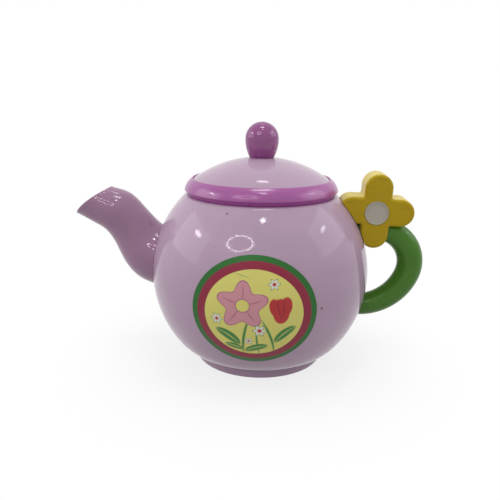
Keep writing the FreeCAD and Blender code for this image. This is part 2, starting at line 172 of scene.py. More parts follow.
class LidSizes(bpy.types.PropertyGroup):
    """Sizes of the lid's ring, dome and knob."""
    clearance: length("Clearance", 0.4, "Clearance between the lid's skirt and the mouth")
    skirt: length("Skirt wall", 2.2, "Thickness of the skirt")
    skirt_depth: length("Skirt depth", 5.5, "How far the skirt goes into the mouth")
    foot: length("Ring foot radius", 38.6, "Radius of the ring where it rests on the ledge")
    band: length("Band radius", 39.5, "Radius at the top of the lower band")
    band_height: length("Band height", 1.8, "Height of the lower band")
    widest: length("Widest radius", 40.3, "Radius of the ring at its widest")
    widest_height: length("Widest height", 2.5, "Height at which the ring is widest")
    shoulder: length("Shoulder radius", 38.2, "Radius of the ring's rounded face")
    shoulder_height: length("Shoulder height", 6.7, "Height of the ring's rounded face")
    crest: length("Crest radius", 36.2, "Radius of the ring's top edge")
    crest_height: length("Crest height", 8.5, "Height of the ring's top edge")
    foot_round: length("Lower edge rounding", 0.25, "Radius along the ring's lower edges")
    crest_round: length("Top edge rounding", 0.2, "Radius along the ring's top edges")
    groove: length("Groove", 0.3, "Depth of the groove between ring and dome")
    dome_edge: length("Dome edge radius", 35.6, "Radius of the dome's edge")
    dome_height: length("Dome height", 19.2, "Height of the dome's top above the ledge")
    dome: length("Dome curve", 61.5, "Radius of the ball of which the dome is a cap")
    dome_wall: length("Dome wall", 2.0, "Thickness of the dome")
    dome_lip: length("Dome lip", 2.5, "Height of the dome's straight edge")
    dome_round: length("Dome edge rounding", 0.3, "Radius along the dome's edges")
    knob: length("Knob radius", 8.7, "Radius of the knob at its widest")
    knob_foot: length("Knob foot radius", 6.3, "Radius of the knob where it meets the dome")
    knob_bevel: length("Knob bevel", 0.3, "Width of the bevel under the knob's foot")
    stem: length("Stem radius", 3.0, "Radius of the knob's stem through the dome")
    pad: length("Pad radius", 5.6, "Radius of the pad under the dome's top")
    pad_height: length("Pad height", 1.2, "Height of the pad under the dome's top")
    screw: length("Screw radius", 1.5, "Radius of the screw that holds the knob")
    screw_length: length("Screw length", 9.0, "Length of the screw in the knob")


class LabelSizes(bpy.types.PropertyGroup):
    """Sizes of the printed label."""
    half_width: length("Half width", 28.9, "Half of the label's width, seen from in front")
    half_height: length("Half height", 27.2, "Half of the label's height, seen from in front")
    drop: angle("Drop", 4.3, "How far the label's middle lies below the ball's widest line")
    thick: length("Thickness", 0.2, "Thickness of the film")
    lift: length("Lift", 0.02, "Gap between the film and the pot")


class FinishColours(bpy.types.PropertyGroup):
    """Colours of the plastics and of the print."""
    mauve: colour("Mauve", 0.750, 0.640, 0.735, "Pot and dome")
    # Painted shade: the spout's mauve is the pot's mauve darkened, standing in for the shade that falls on
    # the spout.
    shaded_mauve: colour("Dusky mauve", 0.635, 0.480, 0.600, "Spout, moulded from a deeper batch")
    purple: colour("Purple", 0.660, 0.320, 0.620, "Ring of the lid")
    plum: colour("Plum", 0.590, 0.285, 0.545, "Knob")
    green: colour("Green", 0.300, 0.515, 0.140, "Handle")
    yellow: colour("Yellow", 0.880, 0.800, 0.260, "Sides of the flower")
    # Painted shade: the flower's faces get a darker yellow than its sides, for the shade on faces turned
    # away from the light above.
    face_yellow_painted_shade: colour("Ochre", 0.745, 0.635, 0.070, "Faces of the flower, dulled by handling")
    grey: colour("Grey", 0.755, 0.740, 0.680, "Eye of the flower")
    steel: colour("Steel", 0.620, 0.620, 0.630, "Screw")
    dirt: colour("Dirt", 0.360, 0.270, 0.240, "Specks and rubbed-in dirt")
    ring: colour("Outer ring", 0.105, 0.410, 0.120, "Outer ring of the label")
    border: colour("Border", 0.565, 0.105, 0.230, "Inner ring of the label")
    field: colour("Field", 0.905, 0.885, 0.480, "Ground of the print")
    blossom: colour("Blossom", 0.850, 0.600, 0.640, "Large blossom of the print")
    outline: colour("Outline", 0.700, 0.400, 0.520, "Line round the blossom")
    tulip: colour("Tulip", 0.740, 0.190, 0.190, "Tulip of the print, and the middles of its daisies")
    leaf: colour("Leaf", 0.250, 0.530, 0.250, "Leaves and stems of the print")
    white: colour("White", 0.930, 0.930, 0.880, "Daisies of the print")


class StudioSettings(bpy.types.PropertyGroup):
    """Place of the camera and level of the lamps."""
    distance: length("Camera distance", 303.07, "Distance from the camera to the ball's centre")
    elevation: angle("Camera elevation", 17.506, "Height of the camera above the horizon")
    around: angle("Camera azimuth", 2.6, "How far the camera stands towards the handle")
    pan: angle("Pan", -1.0623, "Turn of the camera to its right")
    tilt: angle("Tilt", 1.9423, "Turn of the camera upwards")
    roll: angle("Roll", 1.0061, "Turn of the camera about its own line of sight")
    lens: amount("Lens", 39.6, "Focal length in millimetres, for a sensor 36 mm wide")
    sky: amount("Sky", 0.38, "Level of the soft light that comes from all round")
    above: amount("From above", 0.35, "Level that is added to it straight above")
    behind: amount("From behind", 0.15, "Level that is added to it from behind")
    beside: amount("From the spout's side", 0.10, "Level that is added to it from the spout's side")
    key: amount("Overhead lamp", 1.0, "Power of the lamp overhead, in watts")
    front: amount("Front lamp", 0.3, "Power of the soft lamp beside the camera, in watts")
    left: amount("Left lamp", 1.3, "Power of the soft lamp on the spout's side, in watts")
    right: amount("Right lamp", 1.1, "Power of the soft lamp on the handle's side, in watts")
    halo: amount("Ring", 18.0, "Brightness of the ring lamp where a gloss mirrors it")
    bulb: amount("Bulbs", 16.0, "Brightness of the lamps' bulbs where a gloss mirrors them")
    floor: colour("Table", 0.960, 0.960, 0.960, "Table top")
    bounce: colour("Bounce", 0.690, 0.675, 0.685, "Tone of the light that the table throws back")


def settings(group):
    """The values of one group of the scene."""
    return getattr(bpy.context.scene, "teapot_" + group)


def full_turn(count):
    """Even angles once round, without the last that would meet the first."""
    return np.linspace(0, 2 * math.pi, count, endpoint=False)


def placed(name, data):
    """New object of the scene that shows a mesh, a lamp or a camera."""
    made = bpy.data.objects.new(name, data)
    bpy.context.scene.collection.objects.link(made)
    return made


def arc(centre, start, end, steps):
    """Points round a centre from start to end: angle and radius run evenly, the angle the short way."""
    centre, start, end = (np.asarray(point, float) for point in (centre, start, end))
    a, b = start - centre, end - centre
    first = math.atan2(a[1], a[0])
    turn = (math.atan2(b[1], b[0]) - first + math.pi) % (2 * math.pi) - math.pi
    t = np.linspace(0, 1, steps + 1)
    radius = np.hypot(*a) * (1 - t) + np.hypot(*b) * t
    angles = first + turn * t
    return centre + radius[:, None] * np.stack([np.cos(angles), np.sin(angles)], axis=1)


def circle_through(a, b, c):
    """Centre of the circle through three points, where the bisectors of its chords cross."""
    a, b, c = (np.asarray(point, float) for point in (a, b, c))
    system = 2 * np.stack([b - a, c - a])
    return np.linalg.solve(system, [b @ b - a @ a, c @ c - a @ a])


def softened(points, radius, steps=4):
    """Outline with each inner corner replaced by the arc of a radius that touches both of its sides."""
    points = [np.asarray(point, float) for point in points]
    made = [points[:1]]
    for before, corner, after in zip(points, points[1:], points[2:]):
        to_before, to_after = before - corner, after - corner
        reach = min(np.hypot(*to_before), np.hypot(*to_after))
        to_before, to_after = to_before / np.hypot(*to_before), to_after / np.hypot(*to_after)
        half = math.acos(np.clip(to_before @ to_after, -1, 1)) / 2
        cut = min(radius / math.tan(half), 0.45 * reach)
        middle = to_before + to_after
        centre = corner + middle / np.hypot(*middle) * cut / math.cos(half)
        made.append(arc(centre, corner + to_before * cut, corner + to_after * cut, steps))
    return np.concatenate(made + [points[-1:]])


def turned(outline, count):
    """Rings of an outline of (radius, height) points swept round the pot's axis: x and y are the radius
    times the cosine and sine of an even angle."""
    outline = np.asarray(outline, float)
    around = full_turn(count)
    radius, height = outline[:, :1], outline[:, 1:]
    x, y = AXIS + radius * np.cos(around), radius * np.sin(around)
    return np.stack([x, y, np.broadcast_to(height, x.shape)], axis=-1)


def surface(name, rings, start=None, end=None, loop=False, crease=32):
    """Closed mesh over an array of rings: quads join neighbours round and along, the ends close on a point
    each, or the last ring joins the first."""
    rows, count = rings.shape[:2]
    points = rings.reshape(-1, 3)
    index = np.arange(rows * count).reshape(rows, count)
    across = np.vstack([index, index[:1]]) if loop else index
    low, high = across[:-1], across[1:]
    quads = np.stack([low, np.roll(low, -1, 1), np.roll(high, -1, 1), high], axis=-1)
    faces = quads.reshape(-1, 4).tolist()
    for tip, ring in ((start, index[0]), (end, index[-1])):
        if tip is not None:
            points = np.vstack([points, tip])
            fan = np.stack([ring, np.roll(ring, -1), np.full(count, len(points) - 1)], axis=-1)
            faces += fan.tolist()
    mesh = bpy.data.meshes.new(name)
    mesh.from_pydata(points.tolist(), [], faces)
    piece = placed(name, mesh)
    tidy(mesh, crease)
    return piece


def tidy(mesh, crease):
    """Welds doubled points, turns every face outwards and smooths all but the sharp edges."""
    work = bmesh.new()
    work.from_mesh(mesh)
    bmesh.ops.remove_doubles(work, verts=work.verts, dist=0.005 * MM)
    bmesh.ops.recalc_face_normals(work, faces=work.faces)
    work.to_mesh(mesh)
    work.free()
    mesh.shade_smooth()
    mesh.set_sharp_from_angle(angle=math.radians(crease))


def combine(piece, others, operation, crease=32):
    """Adds other closed surfaces to a piece or cuts them from it, and removes them."""
    for other in others:
        step = piece.modifiers.new(other.name, "BOOLEAN")
        step.operation = operation
        step.solver = "EXACT"
        step.object = other
    graph = bpy.context.evaluated_depsgraph_get()
    mesh = bpy.data.meshes.new_from_object(piece.evaluated_get(graph))
    piece.modifiers.clear()
    plain = piece.data
    piece.data = mesh
    bpy.data.meshes.remove(plain)
    mesh.name = piece.name
    for other in others:
        bpy.data.meshes.remove(other.data)
    tidy(mesh, crease)
    if len(mesh.polygons) == 0:
        raise RuntimeError("nothing is left of " + piece.name)


def finished(piece, node, material):
    """Gives a piece its material, and lets it stand for the solid of its name."""
    piece.data.materials.clear()
    piece.data.materials.append(material)
    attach(piece, BODY)
    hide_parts(node)


def rod(name, radius, start, direction, run, count=48):
    """Closed round rod: two rings square to its direction, with a flat end each."""
    start, direction = np.asarray(start, float), np.asarray(direction, float)
    side = np.cross(direction, ACROSS)
    if np.linalg.norm(side) < 0.5:
        side = np.array([1.0, 0.0, 0.0])
    side = side / np.linalg.norm(side)
    other = np.cross(direction, side)
    around = full_turn(count)[:, None]
    ring = radius * (np.cos(around) * side + np.sin(around) * other)
    end = start + direction * run
    return surface(name, np.stack([start + ring, end + ring]), start, end)


def sphere_cutter(name, radius, centre):
    """Closed ball: rings whose radius and height are the sine and cosine of an even angle from the top."""
    down = np.linspace(0, math.pi, 97)[1:-1]
    around = full_turn(192)
    rings = centre + radius * np.stack([
        np.sin(down)[:, None] * np.cos(around), np.sin(down)[:, None] * np.sin(around),
        np.broadcast_to(np.cos(down)[:, None], (len(down), len(around))),
    ], axis=-1)
    top = np.array([0.0, 0.0, radius])
    return surface(name, rings, centre + top, centre - top)


def pot_centre():
    """Centre of the ball, which stands on the circle from which the foot ring is proud."""
    s = settings("pot")
    return np.array([AXIS, 0.0, math.sqrt(s.ball ** 2 - (s.foot - s.foot_proud) ** 2)])


def ledge_height():
    """Height at which the ball is as wide as the ledge."""
    s = settings("pot")
    return pot_centre()[2] + math.sqrt(s.ball ** 2 - s.ledge ** 2)


def spout_frame():
    """The point where the spout's line leaves the pot, and the direction straight out there."""
    rise = settings("spout").rise
    out = np.array([-math.cos(rise), 0.0, math.sin(rise)])
    return pot_centre() + out * settings("pot").ball, out


def handle_centres():
    """Centres of the handle's two bends; the lower one lies on the line of the join."""
    s = settings("handle")
    upper = pot_centre() + np.array([settings("pot").ball + s.out, 0.0, s.up])
    way = np.array([math.cos(s.join), 0.0, math.sin(s.join)])
    return upper, upper + way * (s.bend - s.lower_bend)


def handle_seats():
    """Places on the ball where the handle's middle line runs level into it."""
    s = settings("handle")
    upper, lower = handle_centres()
    centre, ball = pot_centre(), settings("pot").ball
    heights = (upper[2] + s.bend, lower[2] - s.lower_bend)
    return [np.array([AXIS + math.sqrt(ball ** 2 - (z - centre[2]) ** 2), 0.0, z]) for z in heights]


def flower_centre():
    """Middle of the flower, over the top of the handle's upper bend."""
    s = settings("flower")
    upper, _ = handle_centres()
    return upper + np.array([-s.inset, 0.0, settings("handle").bend + s.lift])


def pot_outline():
    """Half section of the pot as (radius, height): foot ring, turn, ball, ledge, neck, and the same curves
    one wall further in."""
    s = settings("pot")
    middle = np.array([0.0, pot_centre()[2]])

    def on_ball(radius, height):
        return np.array([math.sqrt(radius ** 2 - (height - middle[1]) ** 2), height])

    start, foot = on_ball(s.ball, s.turn), np.array([s.foot, s.foot_height])
    out = (start - middle) / np.hypot(*(start - middle))
    chord = foot - start
    radius = chord @ chord / (2 * abs(chord @ out))
    turn = start - out * radius
    floor = s.base_lift + s.wall
    inner_foot = np.array([turn[0] + math.sqrt((radius - s.wall) ** 2 - (floor - turn[1]) ** 2), floor])
    top = ledge_height()
    neck = s.mouth + s.wall
    inner_top = np.array([neck, middle[1] + math.sqrt((s.ball - s.wall) ** 2 - neck ** 2)])
    return np.concatenate([
        softened([(0, s.base_lift), (s.foot - s.foot_width, s.base_lift), (s.foot - s.foot_width, 0),
                  (s.foot, 0), foot], s.foot_round),
        arc(turn, foot, start, 20)[1:],
        arc(middle, start, on_ball(s.ball, top - s.edge), 110)[1:-1],
        softened([on_ball(s.ball, top - s.edge), (s.ledge - s.edge, top), (s.mouth, top),
                  (s.mouth, top - s.neck), (neck, top - s.neck), inner_top], s.edge),
        arc(middle, inner_top, start - out * s.wall, 70)[1:],
        arc(turn, start - out * s.wall, inner_foot, 12)[1:],
        [(0, floor)],
    ])


def build_pot():
    """Pot: its half section swept round the axis, with sleeves for the handle's pegs, and holes cut for the
    pegs and for the spout."""
    s, handle = settings("pot"), settings("handle")
    outline = pot_outline()
    rings = turned(outline[1:-1], 256)
    ends = [np.array([AXIS, 0.0, outline[i][1]]) for i in (0, -1)]
    pot = surface("pot_body", rings, ends[0], ends[1])
    hole, inward = handle.peg + FIT, np.array([-1.0, 0.0, 0.0])
    sunk, past = 1.4 * s.wall, 2 * s.wall
    sleeves = [
        rod("sleeve", hole + s.sleeve, seat + inward * sunk, inward, handle.peg_length + s.sleeve - sunk)
        for seat in handle_seats()
    ]
    combine(pot, sleeves, "UNION")
    holes = [
        rod("peg_hole", hole, seat - inward * past, inward, handle.peg_length + past + FIT)
        for seat in handle_seats()
    ]
    root, out = spout_frame()
    port = rod("port", settings("spout").spigot + FIT, root - out * past, out, 2 * past, 96)
    combine(pot, holes + [port], "DIFFERENCE")
    finished(pot, "pot_body", mauve_plastic())


def spline(knots, values, at):
    """Natural cubic through values at the knots: on each stretch a weighted sum of the two ends' values and
    of their second derivatives, which one linear system gives."""
    knots, values = np.asarray(knots, float), np.asarray(values, float)
    run, last = np.diff(knots), len(knots) - 1
    inner = np.arange(1, last)
    system, right = np.eye(last + 1), np.zeros_like(values)
    system[inner, inner - 1] = run[:-1]
    system[inner, inner] = 2 * (run[:-1] + run[1:])
    system[inner, inner + 1] = run[1:]
    slopes = np.diff(values, axis=0) / run[:, None]
    right[inner] = 6 * np.diff(slopes, axis=0)
    bend = np.linalg.solve(system, right)
    k = np.clip(np.searchsorted(knots, at) - 1, 0, last - 1)
    h = run[k][..., None]
    a = (knots[k + 1] - at)[..., None] / h
    b = 1 - a
    bow = (a ** 3 - a) * bend[k] + (b ** 3 - b) * bend[k + 1]
    return a * values[k] + b * values[k + 1] + bow * h ** 2 / 6


def crossing(height, low, high):
    """Where a rising function is zero, found by halving the stretch again and again."""
    low, high = low.copy(), high.copy()
    for _ in range(40):
        middle = (low + high) / 2
        above = height(middle) > 0
        high = np.where(above, middle, high)
        low = np.where(above, low, middle)
    return (low + high) / 2


# Stations of the spout: out, up, heading in degrees and radius, in millimetres from the spout's foot. Every
# line of the spout meets the ball before the middle station and the lip after it.
SPOUT_STATIONS = np.array([
    (-6.7, -4.3, 17.0, 16.8),
    (0.2, -2.2, 28.5, 16.3),
    (5.3, 1.1, 37.0, 15.1),
    (8.7, 5.2, 44.0, 13.9),
    (11.5, 9.7, 49.0, 12.8),
    (16.3, 16.3, 47.0, 12.0),
    (21.6, 21.2, 36.0, 11.9),
    (28.1, 23.7, 24.0, 10.9),
    (36.3, 27.4, 23.0, 10.3),
    (46.3, 31.4, 22.0, 10.0),
])
MIDDLE_STATION = 4


def build_spout():
    """Spout: circles carried along a spline through the stations. Each line along it is cut off where it
    meets the ball and the bowed lip. The rings run over the spigot, the seat, the outside, the rounded lip,
    the inside and the floor."""
    s = settings("spout")
    root, out = spout_frame()
    ball = settings("pot").ball + SEAT_GAP
    centre = pot_centre()
    around = full_turn(144)
    cosine, sine = np.cos(around)[:, None], np.sin(around)[:, None]
    places = root + SPOUT_STATIONS[:, :2] @ np.array([[-1, 0, 0], [0, 0, 1]]) * MM
    heading = np.radians(SPOUT_STATIONS[:, 2:3])
    upward = np.hstack([np.sin(heading), np.zeros_like(heading), np.cos(heading)])
    radius = SPOUT_STATIONS[:, 3:4] * MM
    knots = np.concatenate([[0], np.cumsum(np.linalg.norm(np.diff(places, axis=0), axis=1))])

    def skin(at, less):
        """Ring through places along the spline, one for each line, with the radius less a step."""
        middle = spline(knots, places, at)
        tall = spline(knots, upward * (radius - less), at)
        wide = spline(knots, ACROSS * (radius - less), at)
        return middle + tall * cosine + wide * sine

    normal = np.array([-math.sin(s.lip_slope), 0.0, math.cos(s.lip_slope)])
    lip = root + np.array([-s.lip_out, 0.0, s.lip_up])
    start, half_way, end = (np.full_like(around, knots[station]) for station in (0, MIDDLE_STATION, -1))

    def foot_at(less, radius_there):
        """Where each line starts: at a ball round the pot's centre."""
        return crossing(lambda at: np.linalg.norm(skin(at, less) - centre, axis=1) - radius_there,
                        start, half_way)

    def lip_at(less):
        """Where each line ends: at a plane first, and then at the bow that stands on it."""
        def above(at, bow):
            return (skin(at, less) - lip) @ normal + s.lip_round - bow

        flat = skin(crossing(lambda at: above(at, 0), half_way, end), less)
        along = flat @ np.array([math.cos(s.lip_slope), 0.0, math.sin(s.lip_slope)])
        share = (2 * along - along.min() - along.max()) / np.ptp(along)
        return crossing(lambda at: above(at, s.lip_bow * (1 - share ** 2)), half_way, end)

    def length_of(less, radius_there, rows):
        """Rings from the foot to the lip."""
        foot, lip_end = foot_at(less, radius_there), lip_at(less)
        return np.stack([skin(foot + (lip_end - foot) * t, less) for t in np.linspace(0, 1, rows)])

    outer = length_of(0, ball, 110)
    inner = length_of(s.wall, ball + s.wall, 80)[::-1]
    half_turn = np.linspace(0, math.pi, 13)[1:-1, None, None]
    mix = (1 - np.cos(half_turn)) / 2
    flatness = 0.7
    proud = normal * s.lip_round * np.sin(half_turn) ** flatness
    lip_rings = outer[-1] * (1 - mix) + inner[0] * mix + proud
    square = np.array([math.sin(s.rise), 0.0, math.cos(s.rise)])
    rim = square * cosine + ACROSS * sine
    tip = root - out * (settings("pot").wall + s.spigot_depth)
    bore = s.spigot - s.spigot_wall

    def on_ball(ring, reach):
        """The ring, moved straight towards the pot's centre or away from it onto a ball."""
        return centre + (ring - centre) / np.linalg.norm(ring - centre, axis=-1)[..., None] * reach

    def between(a, b, reach, rows):
        """Rings from one to another on a ball."""
        t = np.linspace(0, 1, rows)[:, None, None]
        return on_ball(a * (1 - t) + b * t, reach)

    def along_spigot(radius_there, reach):
        """Ring of the spigot's own radius on the ball: its way out is the third side of a triangle."""
        return centre + rim * radius_there + out * math.sqrt(reach ** 2 - radius_there ** 2)

    rings = np.concatenate([
        np.stack([tip + rim * bore, tip + rim * s.spigot]),
        between(along_spigot(s.spigot, ball), outer[0], ball, 6),
        outer[1:], lip_rings, inner[:-1],
        between(inner[-1], along_spigot(bore, ball + s.wall), ball + s.wall, 8),
    ])
    spout = surface("spout", rings, loop=True)
    finished(spout, "spout", spout_plastic_with_painted_shade())


def handle_rings(more, reach, stop_short):
    """Rings of the handle's bar: level from the ball to the upper bend, round both bends, level back to the
    ball. The radius eases with the cosine of the bend's angle. A bar that stops short has no lower part."""
    s = settings("handle")
    centre = pot_centre()
    upper, lower = handle_centres()
    around = full_turn(96)
    cosine, sine = np.cos(around)[:, None], np.sin(around)[:, None]

    def ring(middle, out, radius):
        """Circle in the plane of a direction and of Y."""
        return middle + (out * cosine + ACROSS * sine) * radius

    def level(middle, out, rows):
        """From the ball to the bend: the ring at the bend, drawn out towards the pot along X."""
        last = ring(middle, out, s.end + more)
        first = last.copy()
        first[:, 0] = AXIS + np.sqrt(reach ** 2 - last[:, 1] ** 2 - (last[:, 2] - centre[2]) ** 2)
        t = np.linspace(0, 1, rows)[:, None, None]
        return first * (1 - t) + last * t

    def bend(middle, size, start, end, rows):
        """Rings round a bend, from one angle to another."""
        made = []
        for turn in np.linspace(start, end, rows)[1:]:
            out = np.array([math.cos(turn), 0.0, math.sin(turn)])
            made.append(ring(middle + out * size, out, s.end + (s.bar - s.end) * math.cos(turn) + more))
        return np.stack(made)

    quarter, top = math.pi / 2, np.array([0.0, 0.0, 1.0])
    parts = [level(upper + top * s.bend, top, 8), bend(upper, s.bend, quarter, s.join, 56)]
    if not stop_short:
        parts.append(bend(lower, s.lower_bend, s.join, -quarter, 64))
        parts.append(level(lower - top * s.lower_bend, -top, 6)[::-1][1:])
    return np.concatenate(parts)


def build_handle():
    """Handle: the bar's rings, with a round peg at each end, whose ring on the ball is carried inwards."""
    s = settings("handle")
    ball = settings("pot").ball + SEAT_GAP
    bar = handle_rings(0, ball, False)
    tips, pegs = [], []
    for seat, foot in zip(handle_seats(), (bar[0], bar[-1])):
        offset = foot - seat
        offset[:, 0] = 0
        ring = offset / np.linalg.norm(offset, axis=1)[:, None] * s.peg
        peg = seat + ring
        start = peg.copy()
        start[:, 0] = AXIS + np.sqrt(ball ** 2 - peg[:, 1] ** 2 - (peg[:, 2] - pot_centre()[2]) ** 2)
        end = peg - np.array([s.peg_length, 0, 0])
        pegs.append(np.stack([end, start]))
        tips.append(seat - np.array([s.peg_length, 0, 0]))
    rings = np.concatenate([pegs[0], bar, pegs[1][::-1]])
    handle = surface("handle", rings, tips[0], tips[1])
    finished(handle, "handle", green_plastic())


def flower_outline(off):
    """The flower's outline, moved in by a step: each quarter is half a petal's round end, its straight
    flank, the round valley, the next flank and half of the next end, and is turned four times."""
    s = settings("flower")
    wide, run = s.petal - off, s.reach - s.petal
    valley = s.petal + s.valley
    quarter = np.concatenate([
        arc((run, 0), (run + wide, 0), (run, wide), 18),
        np.linspace((run, wide), (valley, wide), 6)[1:],
        arc((valley, valley), (valley, wide), (wide, valley), 8)[1:],
        np.linspace((wide, valley), (wide, run), 6)[1:],
        arc((0, run), (wide, run), (0, run + wide), 18)[1:-1],
    ])
    whole = []
    for petal in range(4):
        turn = s.turned + petal * math.pi / 2
        c, n = math.cos(turn), math.sin(turn)
        whole.append(quarter @ np.array([[c, n], [-n, c]]))
    return np.concatenate(whole)


def flower_rings(rows):
    """Rings from rows of (step in, place along Y, scale): the outline at each step in, about the middle."""
    centre = flower_centre()
    rings = []
    for off, along, scale in rows:
        flat = flower_outline(off) * scale
        x, z = centre[0] + flat[:, 0], centre[2] + flat[:, 1]
        rings.append(np.stack([x, np.full_like(x, along), z], axis=1))
    return np.stack(rings)


def build_flower_half(front):
    """Half of the flower: rows of its outline from the face over the rounded edge and the side to the
    seam's groove. The pot's ball and the handle's bar are cut out of it, and the eye's seat if in front."""
    s = settings("flower")
    half, seam = s.thick / 2, s.split
    way = -1 if front else 1
    face = way * half
    rows = [(s.edge, face, scale) for scale in (0.25, 0.5, 0.75, 0.9)]
    for deg in np.linspace(0, math.pi / 2, 10):
        rows.append((s.edge * (1 - math.sin(deg)), face - way * s.edge * (1 - math.cos(deg)), 1))
    near = seam + way * s.groove / 2
    side = np.linspace(face - way * s.edge, near, 8)[1:]
    rows += [(0, along, 1) for along in side]
    rows += [(s.groove, near, 1), (s.groove, seam, 1)]
    rows += [(s.groove, seam, scale) for scale in (0.8, 0.5, 0.25)]
    centre = flower_centre()
    ends = [np.array([centre[0], along, centre[2]]) for along in (face, seam)]
    name = "flower_front" if front else "flower_back"
    piece = surface(name, flower_rings(rows), ends[0], ends[1])
    ball = settings("pot").ball
    well_inside = 0.8 * ball
    bar = handle_rings(FIT, well_inside, True)
    cutters = [
        sphere_cutter("pot_space", ball + s.gap, pot_centre()),
        surface("bar_space", bar, bar[0].mean(0), bar[-1].mean(0)),
    ]
    if front:
        start = centre - np.array([0, half + CUT_PAST, s.eye_drop])
        seat = CUT_PAST + s.eye_thick - s.eye_proud
        cutters.append(rod("eye_seat", s.eye + FIT, start, ACROSS, seat, 96))
        cutters.append(rod("stem_seat", s.stem + FIT, start, ACROSS, seat + s.stem_length + FIT))
    combine(piece, cutters, "DIFFERENCE")
    finished(piece, name, yellow_plastic())


def build_eye():
    """Eye: a disc with a stem behind it and a rounded lip round its floor, swept round its own axis."""
    s = settings("flower")
    shoulder, middle, inner = s.eye_thick - s.eye_lip / 2, s.eye - s.eye_lip / 2, s.eye - s.eye_lip
    floor_height = s.eye_thick - s.eye_dish
    outline = np.concatenate([
        softened([(0, -s.stem_length), (s.stem, -s.stem_length), (s.stem, 0), (s.eye, 0), (s.eye, shoulder)],
                 s.eye_edge)[1:],
        arc((middle, shoulder), (s.eye, shoulder), (middle, s.eye_thick), 5)[1:],
        arc((middle, shoulder), (middle, s.eye_thick), (inner, shoulder), 5)[1:],
        softened([(inner, shoulder), (inner, floor_height), (inner * 0.7, floor_height)], s.eye_hollow)[1:],
        [(inner * 0.35, floor_height)],
    ])
    centre = flower_centre() - np.array([0, 0, s.eye_drop])
    front = -s.thick / 2 + s.eye_thick - s.eye_proud
    around = full_turn(96)
    radius, height = outline[:, :1], outline[:, 1:]
    rings = np.stack([
        centre[0] + radius * np.cos(around), np.broadcast_to(front - height, (len(outline), len(around))),
        centre[2] + radius * np.sin(around),
    ], axis=-1)
    back = np.array([centre[0], front + s.stem_length, centre[2]])
    floor = np.array([centre[0], front - s.eye_thick + s.eye_dish, centre[2]])
    eye = surface("flower_eye", rings, back, floor)
    finished(eye, "flower_eye", grey_plastic())


def dome_heights():
    """Heights of the dome: the centre of its outer curve, its edge, the seat of its edge, and the pad."""
    s = settings("lid")
    top = ledge_height() + s.dome_height
    edge = top - s.dome + math.sqrt(s.dome ** 2 - s.dome_edge ** 2)
    return top - s.dome, edge, edge - s.dome_lip, top - s.dome_wall - s.pad_height


def build_rim():
    """Ring of the lid: skirt, lower band, rounded face, groove and seat as one section, swept round."""
    s = settings("lid")
    z = ledge_height()
    _, _, seat, _ = dome_heights()
    outer = settings("pot").mouth - s.clearance
    inner = outer - s.skirt
    groove = s.dome_edge + FIT
    widest = np.array([s.widest, z + s.widest_height])
    shoulder = np.array([s.shoulder, z + s.shoulder_height])
    crest = np.array([s.crest, z + s.crest_height])
    face = arc(circle_through(widest, shoulder, crest), widest, crest, 24)
    outline = np.concatenate([
        softened([(outer, z - s.skirt_depth / 2), (outer, z), (s.foot, z), (s.band, z + s.band_height),
                  widest, face[1]], s.foot_round),
        face[2:-1],
        softened([face[-2], crest, (groove, z + s.crest_height - s.groove), (groove, seat), (inner, seat),
                  (inner, z - s.skirt_depth), (outer, z - s.skirt_depth), (outer, z - s.skirt_depth / 2)],
                 s.crest_round)[1:-1],
    ])
    rim = surface("lid_rim", turned(outline, 256), loop=True)
    finished(rim, "lid_rim", purple_plastic())


def build_dome():
    """Dome: two arcs about one centre, with a straight edge, and a pad with a hole under the top."""
    s = settings("lid")
    centre, edge, seat, pad = dome_heights()
    middle = (0, centre)
    inner = s.dome - s.dome_wall
    hole = s.stem + FIT
    inner_edge = s.dome_edge - s.dome_wall

    def on_curve(radius, across):
        """Point of an arc, from how far it lies from the axis."""
        return (across, centre + math.sqrt(radius ** 2 - across ** 2))

    outer_curve = arc(middle, on_curve(s.dome, hole), (s.dome_edge, edge), 60)
    outline = np.concatenate([
        outer_curve[:-1],
        softened([outer_curve[-2], (s.dome_edge, edge), (s.dome_edge, seat), (inner_edge, seat),
                  on_curve(inner, inner_edge)], s.dome_round)[1:],
        arc(middle, on_curve(inner, inner_edge), on_curve(inner, s.pad), 40)[1:],
        [(s.pad, pad), (hole, pad)],
    ])
    dome = surface("lid_dome", turned(outline, 256), loop=True)
    finished(dome, "lid_dome", mauve_plastic())


def build_knob():
    """Knob: half an ellipse below its widest line, half a circle above it, a stem and a blind hole."""
    s = settings("lid")
    centre, _, _, pad = dome_heights()
    widest = knob_top - s.knob
    seat = s.dome + SEAT_GAP
    foot = centre + math.sqrt(seat ** 2 - s.knob_foot ** 2)
    tall = (widest - foot) / math.sqrt(1 - (s.knob_foot / s.knob) ** 2)
    stem_foot = pad + FIT
    hole = s.screw + SCREW_GAP
    start = math.acos(s.knob_foot / s.knob)
    down = np.linspace(-start, 0, 32)
    up = np.linspace(0, math.pi / 2, 33)[1:-1]
    outline = np.concatenate([
        [(hole, stem_foot + s.screw_length), (hole, stem_foot), (s.stem, stem_foot),
         (s.stem, centre + math.sqrt(seat ** 2 - s.stem ** 2)), (s.knob_foot - s.knob_bevel, foot)],
        np.stack([s.knob * np.cos(down), widest + tall * np.sin(down)], axis=1),
        np.stack([s.knob * np.cos(up), widest + s.knob * np.sin(up)], axis=1),
    ])
    inside = np.array([AXIS, 0.0, stem_foot + s.screw_length])
    knob = surface("lid_knob", turned(outline, 128), inside, np.array([AXIS, 0.0, knob_top]))
    finished(knob, "lid_knob", plum_plastic())


